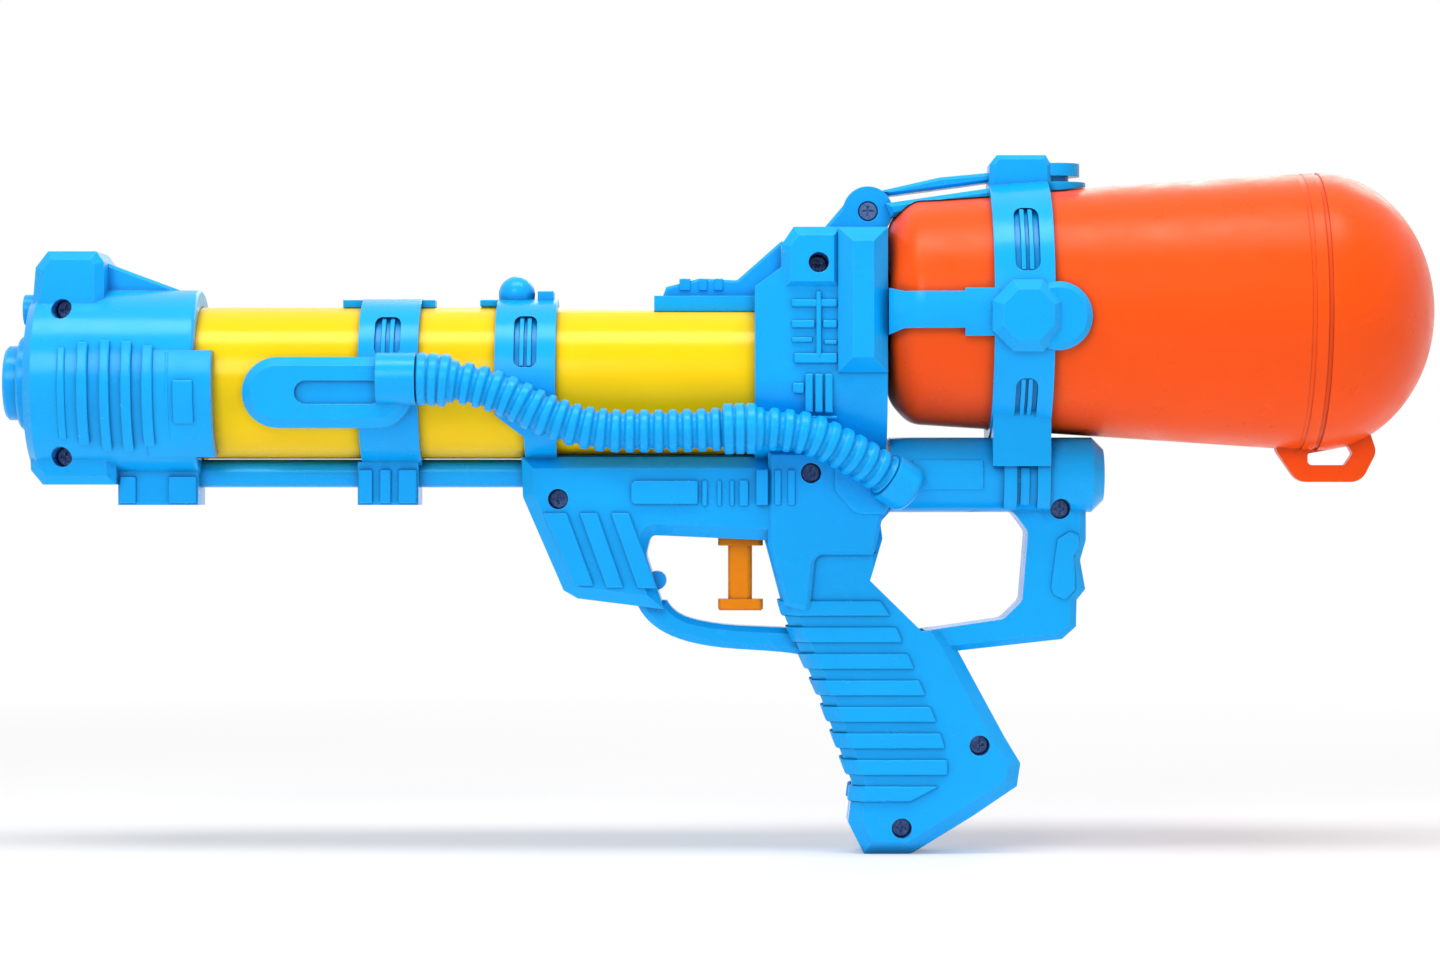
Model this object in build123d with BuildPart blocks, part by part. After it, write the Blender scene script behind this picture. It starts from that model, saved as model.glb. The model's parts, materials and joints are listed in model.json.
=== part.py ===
from build123d import *
from math import pi, radians, tan
import os

# Large water squirter: a moulded housing in two halves, a barrel, a trigger pump and a screw-on tank.
# The muzzle points along -X and +Z is up. The halves meet on the plane Y = 0, and the left half,
# which shows the screw heads, lies on the -Y side. All sizes are in millimetres.

os.makedirs("parts", exist_ok=True)

# General fits
shell_wall = 2.2
seat_gap = 0.25
run_gap = 0.45
shaft_gap = 0.06

# Barrel and rail
barrel_radius = 26.5
barrel_wall = 1.8
muzzle_front = -239.6
barrel_front = muzzle_front + 18.6
barrel_rear = 27.0
receiver_top = 137.9
barrel_sink = 0.6
barrel_height = receiver_top - barrel_sink + barrel_radius
rail_radius = 4.9
rail_front = muzzle_front + 32.6
rail_rear = -60.0
rail_bore = 3.2
rail_height = barrel_height - barrel_radius - rail_radius - 0.2

# Tank
tank_rise = 24.9
tank_height = barrel_height + tank_rise
tank_face = 58.6
tank_tail = 249.4
tank_front_radius = 39.5
tank_rear_radius = 48.65
tank_wall = 1.8
tank_shoulder = 13.0
tank_taper_start = 70.0
tank_taper_end = tank_tail - 41.2
tank_groove_depth = 0.7
tank_groove_width = 1.6
tank_grooves = [tank_tail - 48.4, tank_tail - 42.8]
tank_lug_half = 3.2
tank_lug_outline = [
    (tank_tail - 55, tank_height - 42.0, 0),
    (tank_tail - 55, tank_height - 48.6, 3.0),
    (tank_tail - 47.4, tank_height - 59.5, 6.0),
    (tank_tail - 25.4, tank_height - 59.5, 6.0),
    (tank_tail - 20, tank_height - 49.0, 5.0),
    (tank_tail - 23, tank_height - 40.0, 0),
]
tank_lug_slot = [
    (tank_tail - 44.1, tank_height - 49.6, 0.8),
    (tank_tail - 44.1, tank_height - 53.6, 1.5),
    (tank_tail - 31, tank_height - 53.6, 1.5),
    (tank_tail - 28.2, tank_height - 49.6, 1.5),
    (tank_tail - 29.8, tank_height - 46.9, 0.8),
    (tank_tail - 37.4, tank_height - 48.4, 1.0),
]
neck_radius = 14.0
neck_wall = 2.0
neck_length = 11.6
neck_front = tank_face - neck_length

# Housing outlines on the parting plane, as (x, z, corner radius)
receiver_half = 17.0
receiver_bevel = 4.0
receiver_outline = [
    (-68.9, receiver_top, 0),
    (-68.4, receiver_top - 13.9, 0),
    (-54.3, receiver_top - 46.3, 0),
    (-49.4, receiver_top - 49.1, 0),
    (-19.4, receiver_top - 52.9, 0),
    (-25.7, receiver_top - 33.9, 5.0),
    (-24.0, receiver_top - 27.1, 2.5),
    (16.0, receiver_top - 28.9, 0),
    (50.0, receiver_top - 28.9, 0),
    (59.5, receiver_top - 18.4, 0),
    (60.5, receiver_top - 13.9, 0),
    (60.5, receiver_top, 0),
]
grip_half = 15.5
grip_bevel = 4.5
grip_outline = [
    (15.3, receiver_top - 15.9, 0),
    (15.6, receiver_top - 28.9, 0),
    (23.0, 81.2, 12.0),
    (35.5, 53.4, 12.0),
    (46.2, 24.0, 6.0),
    (44.5, 11.0, 0),
    (50.0, 0.0, 0),
    (66.5, 0.0, 6.0),
    (88.0, 13.2, 0),
    (103.2, 23.5, 0),
    (104.4, 31.5, 0),
    (98.8, 40.8, 0),
    (80.7, 74.2, 12.0),
    (69.2, receiver_top - 47, 12.0),
    (57.6, receiver_top - 36.9, 3.0),
    (54.8, receiver_top - 15.9, 0),
]
head_half = 18.4
head_bevel = 1.4
head_outline = [
    (16.6, receiver_top + 2.1, 0),
    (16.6, receiver_top - 29.9, 0),
    (22.4, receiver_top - 51.4, 0),
    (31.0, receiver_top - 53.9, 2.0),
    (33.0, receiver_top - 33.9, 3.0),
    (53.5, receiver_top - 33.9, 2.0),
    (56.4, receiver_top - 19.9, 2.0),
    (56.4, receiver_top + 2.1, 0),
]
guard_half = 7.6
guard_bevel = 2.0
guard_outer = [
    (-29.5, receiver_top - 49.9),
    (-23.7, receiver_top - 58.2),
    (-7.0, receiver_top - 65.3),
    (8.7, receiver_top - 67.1),
    (30.0, receiver_top - 69.3),
]
guard_inner = [
    (30.0, receiver_top - 60.5),
    (8.7, receiver_top - 58.9),
    (-7.0, receiver_top - 57),
    (-14.5, receiver_top - 54.3),
    (-18.6, receiver_top - 49.9),
]
loop_half = 12.6
loop_bevel = 2.2
loop_outline = [
    (127.2, receiver_top - 6.9, 0),
    (127.2, receiver_top - 28.9, 2.5),
    (125.2, receiver_top - 35.8, 2.5),
    (127.0, receiver_top - 45.9, 0),
    (124.0, receiver_top - 49.7, 0),
    (123.8, receiver_top - 58.9, 0),
    (118.9, receiver_top - 63.3, 0),
    (76.0, receiver_top - 68.1, 0),
    (66.0, receiver_top - 51.9, 0),
    (92.0, receiver_top - 6.9, 0),
]
loop_window = [
    (59.1, receiver_top - 19.9, 0),
    (101.5, receiver_top - 18.5, 5.0),
    (107.0, receiver_top - 25.9, 4.0),
    (105.0, receiver_top - 49.9, 4.0),
    (98.5, receiver_top - 56.3, 5.0),
    (70.0, receiver_top - 60.5, 0),
    (52.0, receiver_top - 42.9, 0),
]

# Block behind the barrel
block_front = 12.0
block_rear = 57.6
block_half = 29.6
block_wall = 2.4
block_foot = receiver_top - 4.0
block_top = tank_height + 27.4
block_bevel = 8.0
block_outline = [
    (block_front, block_foot, 0),
    (block_front, barrel_height + 32.6, 0),
    (21.6, barrel_height + 39.6, 0),
    (21.6, block_top - 5.4, 0),
    (25.5, block_top, 0),
    (block_rear, block_top, 0),
    (block_rear, block_foot, 0),
]
cap_half = 31.4
cap_bevel = 3.0
cap_outline = [
    (21.2, tank_height + 6.4, 0),
    (21.2, block_top - 5.2, 0),
    (25.3, block_top + 0.8, 0),
    (42.0, block_top + 0.8, 0),
    (42.0, tank_height + 6.4, 0),
]
cheek_half = 36.0
cheek_bevel = 5.0
cheek_outline = [
    (40.5, barrel_height + 3.1, 0),
    (40.5, block_top + 0.6, 0),
    (block_rear, block_top + 0.6, 0),
    (block_rear, barrel_height + 3.1, 0),
]
barrel_rib_depth = 2.5
socket_rib_front = 48.5
rib_thickness = 2.0

# Sight on top of the barrel
sight_half = 2.6
sight_bevel = 0.8
flange_front = -22.9
flange_half = 10.0
flange_top = barrel_height + 30.2
sight_outline = [
    (-20.4, flange_top - 1.0, 0),
    (-18.8, flange_top + 3.4, 0),
    (-7.0, flange_top + 6.4, 0),
    (5.9, flange_top + 5.7, 2.0),
    (21.3, flange_top + 19.3, 0),
    (26.0, flange_top + 19.3, 0),
    (26.0, flange_top - 1.0, 0),
]

# Bands round the barrel
band_thickness = 2.9
mid_band_front = -77.5
mid_band_rear = -56.6
mid_band_step = -67.6
knob_radius = 6.4
knob_rise = 4.5
front_band_front = -124.5
front_band_rear = -103.9
fin_front = -131.5
fin_rear = -99.4
fin_half = 5.0
clamp_half = 10.0
clamp_drop = 11.0
saddle_half = 9.0
saddle_front = -62.0

# Side pod on the front band and the gland that the outside hose starts from
badge_front = -163.3
badge_rear = -105.2
badge_height = barrel_height - 4.0
badge_width = 24.2
badge_half = 40.0
badge_bevel = 3.0
badge_recess = 1.6
front_window = [
    (-119.0, barrel_height + 9.0, 2.5),
    (-119.0, barrel_height + 22.4, 2.5),
    (-110.1, barrel_height + 22.4, 2.5),
    (-110.1, barrel_height + 9.0, 2.5),
]
hose_side = 37.3
hose_start = front_band_rear + seat_gap
hose_cuff_rear = -92.4
hose_cuff = 9.0
hose_radius = 7.35

# Pods that carry the tank
pod_radius = 13.0
pod_offset = 9.2
pod_height = receiver_top - 6.2
pod_front = 58.8
pod_root = 52.0
pod_rear = 133.1
pod_wall = 2.0
pod_nose = 4.0

hose_route = [
    (hose_start, -hose_side, badge_height + 4.6),
    (-82.7, -hose_side, badge_height + 4.6),
    (-51.1, -hose_side, badge_height - 12.8),
    (-18.0, -hose_side, badge_height - 13.4),
    (18.0, -hose_side, badge_height - 11.7),
    (38.0, -35.6, badge_height - 15.8),
    (57.0, -28.2, badge_height - 28.2),
]
gland_radius = 8.6

# Screws
screw_seat = 6.0
screw_length = 12.0
screw_shank = 1.3
screw_head = 3.0
screw_head_height = 2.0
screw_recess = 3.5
screw_post = 5.0
receiver_screws = [(-56.1, receiver_top - 14.6)]
head_screws = [(31.5, receiver_top - 5.6)]
block_screws = [(33.9, tank_height + 15.9)]
grip_screws = [(90.0, 37.8), (63.0, 9.1)]
loop_screws = [(118.1, receiver_top - 18.0)]
housing_screws = receiver_screws + head_screws + block_screws + grip_screws + loop_screws
muzzle_screws = [
    (muzzle_front + 12.1, barrel_height + 25.2),
    (muzzle_front + 12.1, barrel_height - 25.9),
]
lug_screws = [(51.5, tank_height + 34.8)]

# Trigger and pump
trigger_travel = 11.0
trigger_half = 4.6
trigger_front = -0.7
trigger_rear = 15.0
post_front = 2.8
post_rear = 11.2
trigger_top = receiver_top - 26.9
trigger_foot = trigger_top - 26.6
flange_thickness = 4.0
pump_height = trigger_top + 6.6
pump_bore = 7.0
pump_wall = 1.8
pump_front = 27.7
pump_rear = 53.0
end_wall = 2.0
rod_radius = 2.8
gland_flange = 1.2
gland_depth = 1.6
piston_front = pump_front + gland_depth + 0.3
piston_length = 5.4
piston_radius = 6.5
ring_width = 2.2
ring_depth = 1.8
spring_wire = 0.45
spring_radius = 5.0
spring_turns = 5

# Valves
ball_radius = 3.4
ball_lift = 1.2
chamber_radius = 4.3
seat_radius = 1.6
inlet_x = 42.9
outlet_x = 46.8
valve_side = 5.3
chest_front = 37.4
chest_half = 11.2
gallery_floor = pump_height + pump_bore + pump_wall + 0.6
chamber_floor = gallery_floor + 4.5
chest_top = chamber_floor + 11.0
lid_thickness = 1.6
lid_overhang = 0.9
inlet_stem_height = 8.5
elbow_height = chest_top + 5.2
stem_radius = 1.75
stem_bore = 1.0
water_hose_radius = 2.5
water_hose_bore = stem_radius + 0.05

# Tank socket
socket_front = 39.6
socket_radius = 17.5
socket_rear = block_rear - block_wall - seat_gap
chamber_front = socket_front + 1.8
plate_front = chamber_front + 3.0
plate_thickness = 1.0
seal_front = plate_front + plate_thickness + 0.3
seal_thickness = 1.0
dip_tube_radius = 3.0
dip_tube_bore = 2.2
socket_chamber_radius = 9.0
socket_stem_foot = tank_height - socket_radius - 8.0
dip_tank_reach = 190.8
dip_stretch = (tank_tail - tank_face) / dip_tank_reach
dip_route = [
    (chamber_front + 0.6, 0, tank_height),
    (tank_face + 8.4, 0, tank_height),
    (tank_face + 39.4 * dip_stretch, 0, tank_height - 9.0),
    (tank_face + 79.4 * dip_stretch, 0, tank_height - 26.5),
    (tank_face + 117.4 * dip_stretch, 0, tank_height - 36.0),
    (tank_face + 146.4 * dip_stretch, 0, tank_height - 38.5),
]

# Nozzle and muzzle
nozzle_tip = muzzle_front - 9.8
nozzle_bore = 1.2
nozzle_disc = 13.0
nozzle_ring = 16.3
nozzle_neck = 9.0
nozzle_ring_front = muzzle_front - 4.8
nozzle_pipe_front = muzzle_front + 1.0
nozzle_pipe_collar = muzzle_front + 7.6
nozzle_pipe_rear = barrel_front
muzzle_rear = muzzle_front + 58.6
muzzle_radius = 32.5
muzzle_wall = 2.4
muzzle_bevel = 3.0
nose_half = 18.0
brow_outline = [
    (muzzle_front + 0.1, barrel_height + 12.0, 0),
    (muzzle_front + 2.4, barrel_height + 39.8, 0),
    (muzzle_front + 6.7, barrel_height + 45.4, 0),
    (muzzle_front + 23.4, barrel_height + 45.4, 0),
    (muzzle_front + 26, barrel_height + 41.7, 0),
    (muzzle_front + 26, barrel_height + 12.0, 0),
]
chin_outline = [
    (muzzle_front + 30.3, barrel_height - 12.0, 0),
    (muzzle_front + 30.3, barrel_height - 35.5, 0),
    (muzzle_front + 4.9, barrel_height - 35.5, 0),
    (muzzle_front + 0.7, barrel_height - 30.4, 0),
    (muzzle_front + 0.1, barrel_height - 12.0, 0),
]
fin_outline = [
    (muzzle_front + 24.6, barrel_height + 28.0, 0),
    (muzzle_front + 24.6, barrel_height + 42.2, 0),
    (muzzle_front + 52.6, barrel_height + 31.8, 0),
    (muzzle_front + 58, barrel_height + 29.6, 0),
    (muzzle_front + 58.8, barrel_height + 26.0, 0),
]
brow_fin_half = 3.5
skirt_rear = muzzle_front + 65.0
skirt_rise = 0.6
skirt_top = barrel_height + 10.6
skirt_foot = barrel_height - 26.0
muzzle_ring = muzzle_front + 33.6
clamp_front = muzzle_front + 30.3
clamp_rear = muzzle_front + 58.1

# Hose from the outlet valve to the nozzle
outlet_stem_tip = outlet_x - 12.0
pressure_route = [
    (outlet_x - 3.6, -valve_side, elbow_height),
    (8.0, -valve_side, elbow_height),
    (-40.0, -3.0, chest_top + 6.0),
    (-90.0, 1.5, chest_top + 11.6),
    (-140.0, 1.0, barrel_height - 1.2),
    (muzzle_front + 52.6, 0, barrel_height),
    (nozzle_pipe_collar + 2.0 + seat_gap, 0, barrel_height),
]

# Collar round the tank
collar_window_top = [
    (100.6, tank_height + 12.5, 3.0),
    (100.6, tank_height + 34.6, 3.0),
    (109.1, tank_height + 34.6, 3.0),
    (109.1, tank_height + 12.5, 3.0),
]
collar_window_low = [
    (101.2, tank_height - 40.1, 3.0),
    (101.2, tank_height - 24.1, 3.0),
    (108.7, tank_height - 24.1, 3.0),
    (108.7, tank_height - 40.1, 3.0),
]
collar_slot = [
    (99.2, tank_height + 43.6, 1.2),
    (99.2, tank_height + 47.2, 1.2),
    (106.7, tank_height + 47.2, 1.2),
    (106.7, tank_height + 43.6, 1.2),
]
collar_discs = [
    (tank_height + 47.2, tank_height + 51.7, 117.5, 8.3),
    (tank_height + 40.0, tank_height + 45.1, 118.5, 9.4),
    (tank_height + 45.0, tank_height + 47.3, 116.0, 6.0),
]
clamp_rib_front = 98.0
clamp_rib_rear = 109.6
clamp_rib_width = 4.4
collar_front = 93.5
collar_rear = 114.0
collar_thickness = 3.1
strap_thickness = 3.2
strap_outline = [
    (block_rear + seat_gap, tank_height - 9.1, 0),
    (63.0, tank_height - 7.0, 0),
    (83.5, tank_height - 7.0, 0),
    (83.5, tank_height - 9.7, 0),
    (95.0, tank_height - 9.7, 0),
    (95.0, tank_height + 6.6, 0),
    (83.5, tank_height + 6.6, 0),
    (83.5, tank_height + 5.6, 0),
    (63.0, tank_height + 5.6, 0),
    (block_rear + seat_gap, tank_height + 6.9, 0),
]
facet_knob = (104.7, tank_height - 2.9)
facet_knob_radius = 13.2
facet_knob_half = 49.5
facet_knob_bevel = 3.5
disc_knob = (115.0, tank_height - 3.0)
disc_knob_radius = 11.7
disc_knob_half = 47.0
disc_knob_bevel = 2.0
knob_root = 34.0
collar_top_half = 9.0
collar_top_outline = [
    (93.2, tank_height + 38.0, 0),
    (94.0, tank_height + 51.4, 0),
    (96.4, tank_height + 54.4, 0),
    (113.4, tank_height + 54.4, 0),
    (115.2, tank_height + 51.4, 0),
    (115.8, tank_height + 38.0, 0),
]
upper_rail_half = 6.0
upper_rail = [
    (55.5, tank_height + 42.0, 0),
    (76.7, tank_height + 46.8, 0),
    (96.0, tank_height + 48.6, 0),
    (96.0, tank_height + 45.4, 0),
    (59.0, tank_height + 40.4, 0),
]
lower_rail_half = 12.0
lower_rail = [
    (57.5, tank_height + 37.4, 0),
    (96.0, tank_height + 43.0, 0),
    (96.0, tank_height + 38.0, 0),
    (76.7, tank_height + 35.5, 0),
    (59.5, tank_height + 32.5, 0),
]
lug_half = 8.0
lug_radius = 8.7
lug_outline = [
    (35.6, cheek_outline[1][1] + seat_gap, 0),
    (46.6, tank_height + 41.2, 0),
    (56.5, tank_height + 41.2, 0),
    (60.2, tank_height + 33.5, 0),
    (57.6, cheek_outline[1][1] + seat_gap, 0),
]
tongue_front = 44.0
tongue_rear = 54.0
tongue_half = 5.0
tongue_depth = 3.6

side = Plane.XZ
barrel_axis = Axis((0, 0, barrel_height), (1, 0, 0))
tank_axis = Axis((0, 0, tank_height), (1, 0, 0))


def outline(points):
    """Closed profile with one corner radius for each point."""
    FilletPolyline(*[(x, z) for x, z, r in points], radius=[r for x, z, r in points], close=True)


def slab(points, half, bevel):
    """Form drawn on the parting plane and raised to the left, with a bevelled outer edge."""
    with BuildPart(mode=Mode.PRIVATE) as form:
        with BuildSketch(side):
            with BuildLine():
                outline(points)
            make_face()
        extrude(amount=half)
        if bevel:
            chamfer(form.faces().sort_by(Axis.Y)[0].edges(), bevel)
    return form.part


def core(points, half, bevel, wall):
    """Hollow of a slab, one wall thickness inside it and open at the parting plane."""
    with BuildPart(mode=Mode.PRIVATE) as form:
        with BuildSketch(side):
            with BuildLine():
                outline(points)
            make_face()
            offset(amount=-wall, kind=Kind.INTERSECTION)
        extrude(amount=half - wall)
        if bevel > wall:
            chamfer(form.faces().sort_by(Axis.Y)[0].edges(), bevel - 0.6 * wall)
    return form.part


def tube(front, rear, height, outer, inner=0.0, offset_y=0.0):
    """Round bar or ring along X."""
    with BuildPart(mode=Mode.PRIVATE) as form:
        with BuildSketch(Plane.YZ.offset(front)):
            with Locations((offset_y, height)):
                Circle(outer)
                if inner:
                    Circle(inner, mode=Mode.SUBTRACT)
        extrude(amount=rear - front)
    return form.part


def stack(x, y, steps):
    """Round steps on one upright axis, as (low, high, radius)."""
    with BuildPart(mode=Mode.PRIVATE) as form:
        for low, high, radius in steps:
            with BuildSketch(Plane.XY.offset(low)):
                with Locations((x, y)):
                    Circle(radius)
            extrude(amount=high - low)
    return form.part


def block(x0, x1, y0, y1, z0, z1):
    """Plain box between two corners."""
    centre = ((x0 + x1) / 2, (y0 + y1) / 2, (z0 + z1) / 2)
    with BuildPart(mode=Mode.PRIVATE) as form:
        with Locations(centre):
            Box(x1 - x0, y1 - y0, z1 - z0)
    return form.part


def left_half_space():
    """Everything on the left of the parting plane."""
    return block(-300, 300, -120, 0, -20, 300)


def posts(points, half):
    """Screw posts from the side wall to the parting plane."""
    with BuildPart(mode=Mode.PRIVATE) as form:
        with BuildSketch(side):
            with Locations(*points):
                Circle(screw_post)
        extrude(amount=half)
    return form.part


def screw_holes(points, heads):
    """Head recess and clearance hole on the left, or pilot hole on the right."""
    with BuildPart(mode=Mode.PRIVATE) as form:
        if heads:
            with BuildSketch(side):
                with Locations(*points):
                    Circle(screw_shank + 0.3)
            extrude(amount=screw_seat)
            with BuildSketch(side.offset(screw_seat)):
                with Locations(*points):
                    Circle(screw_recess)
            extrude(amount=40)
        else:
            with BuildSketch(side):
                with Locations(*points):
                    Circle(screw_shank + shaft_gap)
            extrude(amount=-(screw_length - screw_seat + 1.0))
    return form.part


def arch(front, rear, radius, top, bevel):
    """Left half of an arch round the barrel with straight sides that rise to a bevelled top."""
    with BuildPart(mode=Mode.PRIVATE) as form:
        with BuildSketch(Plane.YZ.offset(front)):
            with BuildLine():
                RadiusArc((0, barrel_height - radius), (-radius, barrel_height), radius)
                Polyline(
                    (-radius, barrel_height),
                    (-radius, top - bevel),
                    (-radius + bevel, top),
                    (0, top),
                    (0, barrel_height - radius),
                )
            make_face()
        extrude(amount=rear - front)
    return form.part


def tank_profile(inset=0.0):
    """Half section of the tank's body, from the tank axis out, drawn with the axis as its base."""
    face = tank_face + inset
    front = tank_front_radius - inset
    rear = tank_rear_radius - inset
    shoulder = tank_shoulder - inset
    with BuildSketch(Plane(origin=(0, 0, tank_height), x_dir=(1, 0, 0), z_dir=(0, -1, 0))) as section:
        with BuildLine():
            Line((face, 0), (face, front - shoulder))
            corner = Spline(
                (face, front - shoulder),
                (face + 0.30 * shoulder, front - 0.32 * shoulder),
                (tank_taper_start, front),
                tangents=((0, 1), (tank_taper_end - tank_taper_start, rear - front)),
            )
            Line(corner @ 1, (tank_taper_end, rear))
            EllipticalCenterArc((tank_taper_end, 0), tank_tail - inset - tank_taper_end, rear, arc_size=90)
            Line((tank_tail - inset, 0), (face, 0))
        make_face()
    return section.sketch


def save(piece, name):
    """Label one finished piece and write it to its own file."""
    piece.label = name
    export_step(piece, os.path.join("parts", name + ".step"))


def guard_bar(half, bevel):
    """Trigger guard between the fore-grip and the grip."""
    with BuildPart(mode=Mode.PRIVATE) as form:
        with BuildSketch(side):
            with BuildLine():
                low = Spline(*guard_outer)
                high = Spline(*guard_inner)
                Line(low @ 1, high @ 0)
                Line(high @ 1, low @ 0)
            make_face()
        extrude(amount=half)
        chamfer(form.faces().sort_by(Axis.Y)[0].edges(), bevel)
    return form.part


def pod(radius, front, rear, nose):
    """Left side pod, a round bar along X cut at the parting plane, with a chamfered tail."""
    with BuildPart(mode=Mode.PRIVATE) as form:
        with BuildSketch(Plane.YZ.offset(front)):
            with Locations((-pod_offset, pod_height)):
                Circle(radius)
        extrude(amount=rear - front)
        if nose:
            chamfer(form.faces().sort_by(Axis.X)[-1].edges(), nose)
        split(bisect_by=Plane.XZ, keep=Keep.TOP)
    return form.part


def path_radii(points):
    """Bend radius at each inner point of a hose route, as large as its two runs allow."""
    radii = []
    for before, here, after in zip(points, points[1:], points[2:]):
        run_in = Vector(*here) - Vector(*before)
        run_out = Vector(*after) - Vector(*here)
        turn = radians(run_in.get_angle(run_out))
        radii.append(0.45 * min(run_in.length, run_out.length) / tan(turn / 2))
    return radii


def hose(points, outer, inner=0.0):
    """Hose along straight runs joined by tangent arcs."""
    radii = path_radii(points)
    print("bend radii:", [round(r, 1) for r in radii])
    with BuildPart(mode=Mode.PRIVATE) as form:
        with BuildLine() as route:
            FilletPolyline(*points, radius=radii)
        start = Plane(origin=route.line @ 0, z_dir=route.line % 0)
        with BuildSketch(start):
            Circle(outer)
            if inner:
                Circle(inner, mode=Mode.SUBTRACT)
        sweep(path=route.line)
    length = sum(edge.length for edge in route.edges())
    area = pi * (outer**2 - inner**2)
    print("hose length", round(length, 1), "volume share", round(form.part.volume / area / length, 4))
    return form.part


def tank_clearance(gap):
    """Round space round the tank's body, wider than the tank by one gap."""
    with BuildPart(mode=Mode.PRIVATE) as form:
        revolve(tank_profile(-gap), axis=tank_axis)
    return form.part


# Forms of the housing, all on its left side


def block_form(inset):
    """Block behind the barrel, or its hollow when it is inset by the wall."""
    with BuildPart(mode=Mode.PRIVATE) as form:
        with BuildSketch(side):
            with BuildLine():
                outline(block_outline)
            make_face()
            if inset:
                offset(amount=-inset, kind=Kind.INTERSECTION)
        extrude(amount=block_half + 1.0)
        body = arch(block_front, block_rear, block_half - inset, block_top - inset, block_bevel - 0.6 * inset)
        add(body, mode=Mode.INTERSECT)
    return form.part


def mid_band():
    """Ring round the barrel at the front of the receiver, cut away below its step."""
    step = [
        (mid_band_front - 5, barrel_height - 11.6, 0),
        (mid_band_front, barrel_height - 11.6, 0),
        (mid_band_step, barrel_height - 19.2, 0),
        (mid_band_step, barrel_height - 40.0, 0),
        (mid_band_front - 5, barrel_height - 40.0, 0),
    ]
    window = [
        (-71.0, barrel_height + 4.9, 2.5),
        (-71.0, barrel_height + 22.7, 2.5),
        (-63.1, barrel_height + 22.7, 2.5),
        (-63.1, barrel_height + 4.9, 2.5),
    ]
    with BuildPart(mode=Mode.PRIVATE) as form:
        add(tube(mid_band_front, mid_band_rear, barrel_height, barrel_radius + band_thickness))
        add(slab(step, 60, 0), mode=Mode.SUBTRACT)
        add(slab(window, 60, 0), mode=Mode.SUBTRACT)
        with Locations((mid_band_front + knob_radius, 0, barrel_height + barrel_radius + knob_rise)):
            Sphere(knob_radius)
    return form.part


def loop_wall():
    """Wall round the window of the rear loop."""
    with BuildPart(mode=Mode.PRIVATE) as form:
        with BuildSketch(side):
            with BuildLine():
                outline(loop_window)
            make_face()
            offset(amount=shell_wall, kind=Kind.INTERSECTION)
            with BuildLine():
                outline(loop_window)
            make_face(mode=Mode.SUBTRACT)
        extrude(amount=loop_half - shell_wall)
        add(slab(loop_outline, loop_half, loop_bevel), mode=Mode.INTERSECT)
    return form.part


def barrel_rib():
    """Rib inside the block that holds the rear end of the barrel."""
    top = barrel_height + barrel_radius + 3.0
    return arch(barrel_rear - barrel_rib_depth, barrel_rear, block_half - 1.0, top, 3.0)


def socket_rib():
    """Rib inside the block that holds the tank socket."""
    with BuildPart(mode=Mode.PRIVATE) as form:
        rear = socket_rib_front + rib_thickness
        add(arch(socket_rib_front, rear, block_half - 1.0, block_top - 1.0, block_bevel))
        below = block(0, 100, -60, 0, 0, tank_height - socket_radius + 3.0)
        add(below, mode=Mode.SUBTRACT)
        seat = tube(socket_front - 5, block_rear, tank_height, socket_radius + seat_gap)
        add(seat, mode=Mode.SUBTRACT)
    return form.part


def pump_rib(front):
    """Cradle rib under the pump."""
    with BuildPart(mode=Mode.PRIVATE) as form:
        side_wall = -receiver_half + shell_wall
        add(block(front, front + rib_thickness, side_wall, 0, pump_height - 13.0, pump_height))
        seat = tube(pump_front - 5, pump_rear + 5, pump_height, pump_bore + pump_wall + seat_gap)
        add(seat, mode=Mode.SUBTRACT)
    return form.part


def hose_gland():
    """Stub on the pod that takes the rear end of the outside hose."""
    last = Vector(*hose_route[-1])
    along = (last - Vector(*hose_route[-2])).normalized()
    with BuildPart(mode=Mode.PRIVATE) as form:
        with BuildSketch(Plane(origin=last + along * seat_gap, z_dir=along)):
            Circle(gland_radius)
        extrude(amount=11.0)
        fillet(form.edges().filter_by(GeomType.CIRCLE).sort_by(Axis.X)[-1], 3.0)
    return form.part


def trigger_slot():
    """Slot in the receiver's floor and in the grip's front edge that the trigger runs in."""
    half = trigger_half + run_gap
    rear = trigger_rear + trigger_travel + 1.0
    with BuildPart(mode=Mode.PRIVATE) as form:
        add(block(trigger_front - 1.0, rear, -half, 0, trigger_top - 6.0, trigger_top + 3.0))
        add(block(post_rear + 2.0, rear, -half, 0, trigger_foot - run_gap, trigger_top + 1.0))
    return form.part


def trigger_guides():
    """Rib beside the trigger's tongue, standing on the receiver's floor."""
    face = trigger_half + run_gap
    return block(-6.0, pump_front - 1.8, -face - 1.6, -face, trigger_top - 1.0, pump_height + 3.0)


def tongue_seat(gap):
    """Tongue under the lug, which drops into the top of the block."""
    low = block_top - tongue_depth
    high = lug_outline[0][1] + 1.0
    return block(tongue_front - gap, tongue_rear + gap, -tongue_half - gap, 0, low - gap, high)


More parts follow.
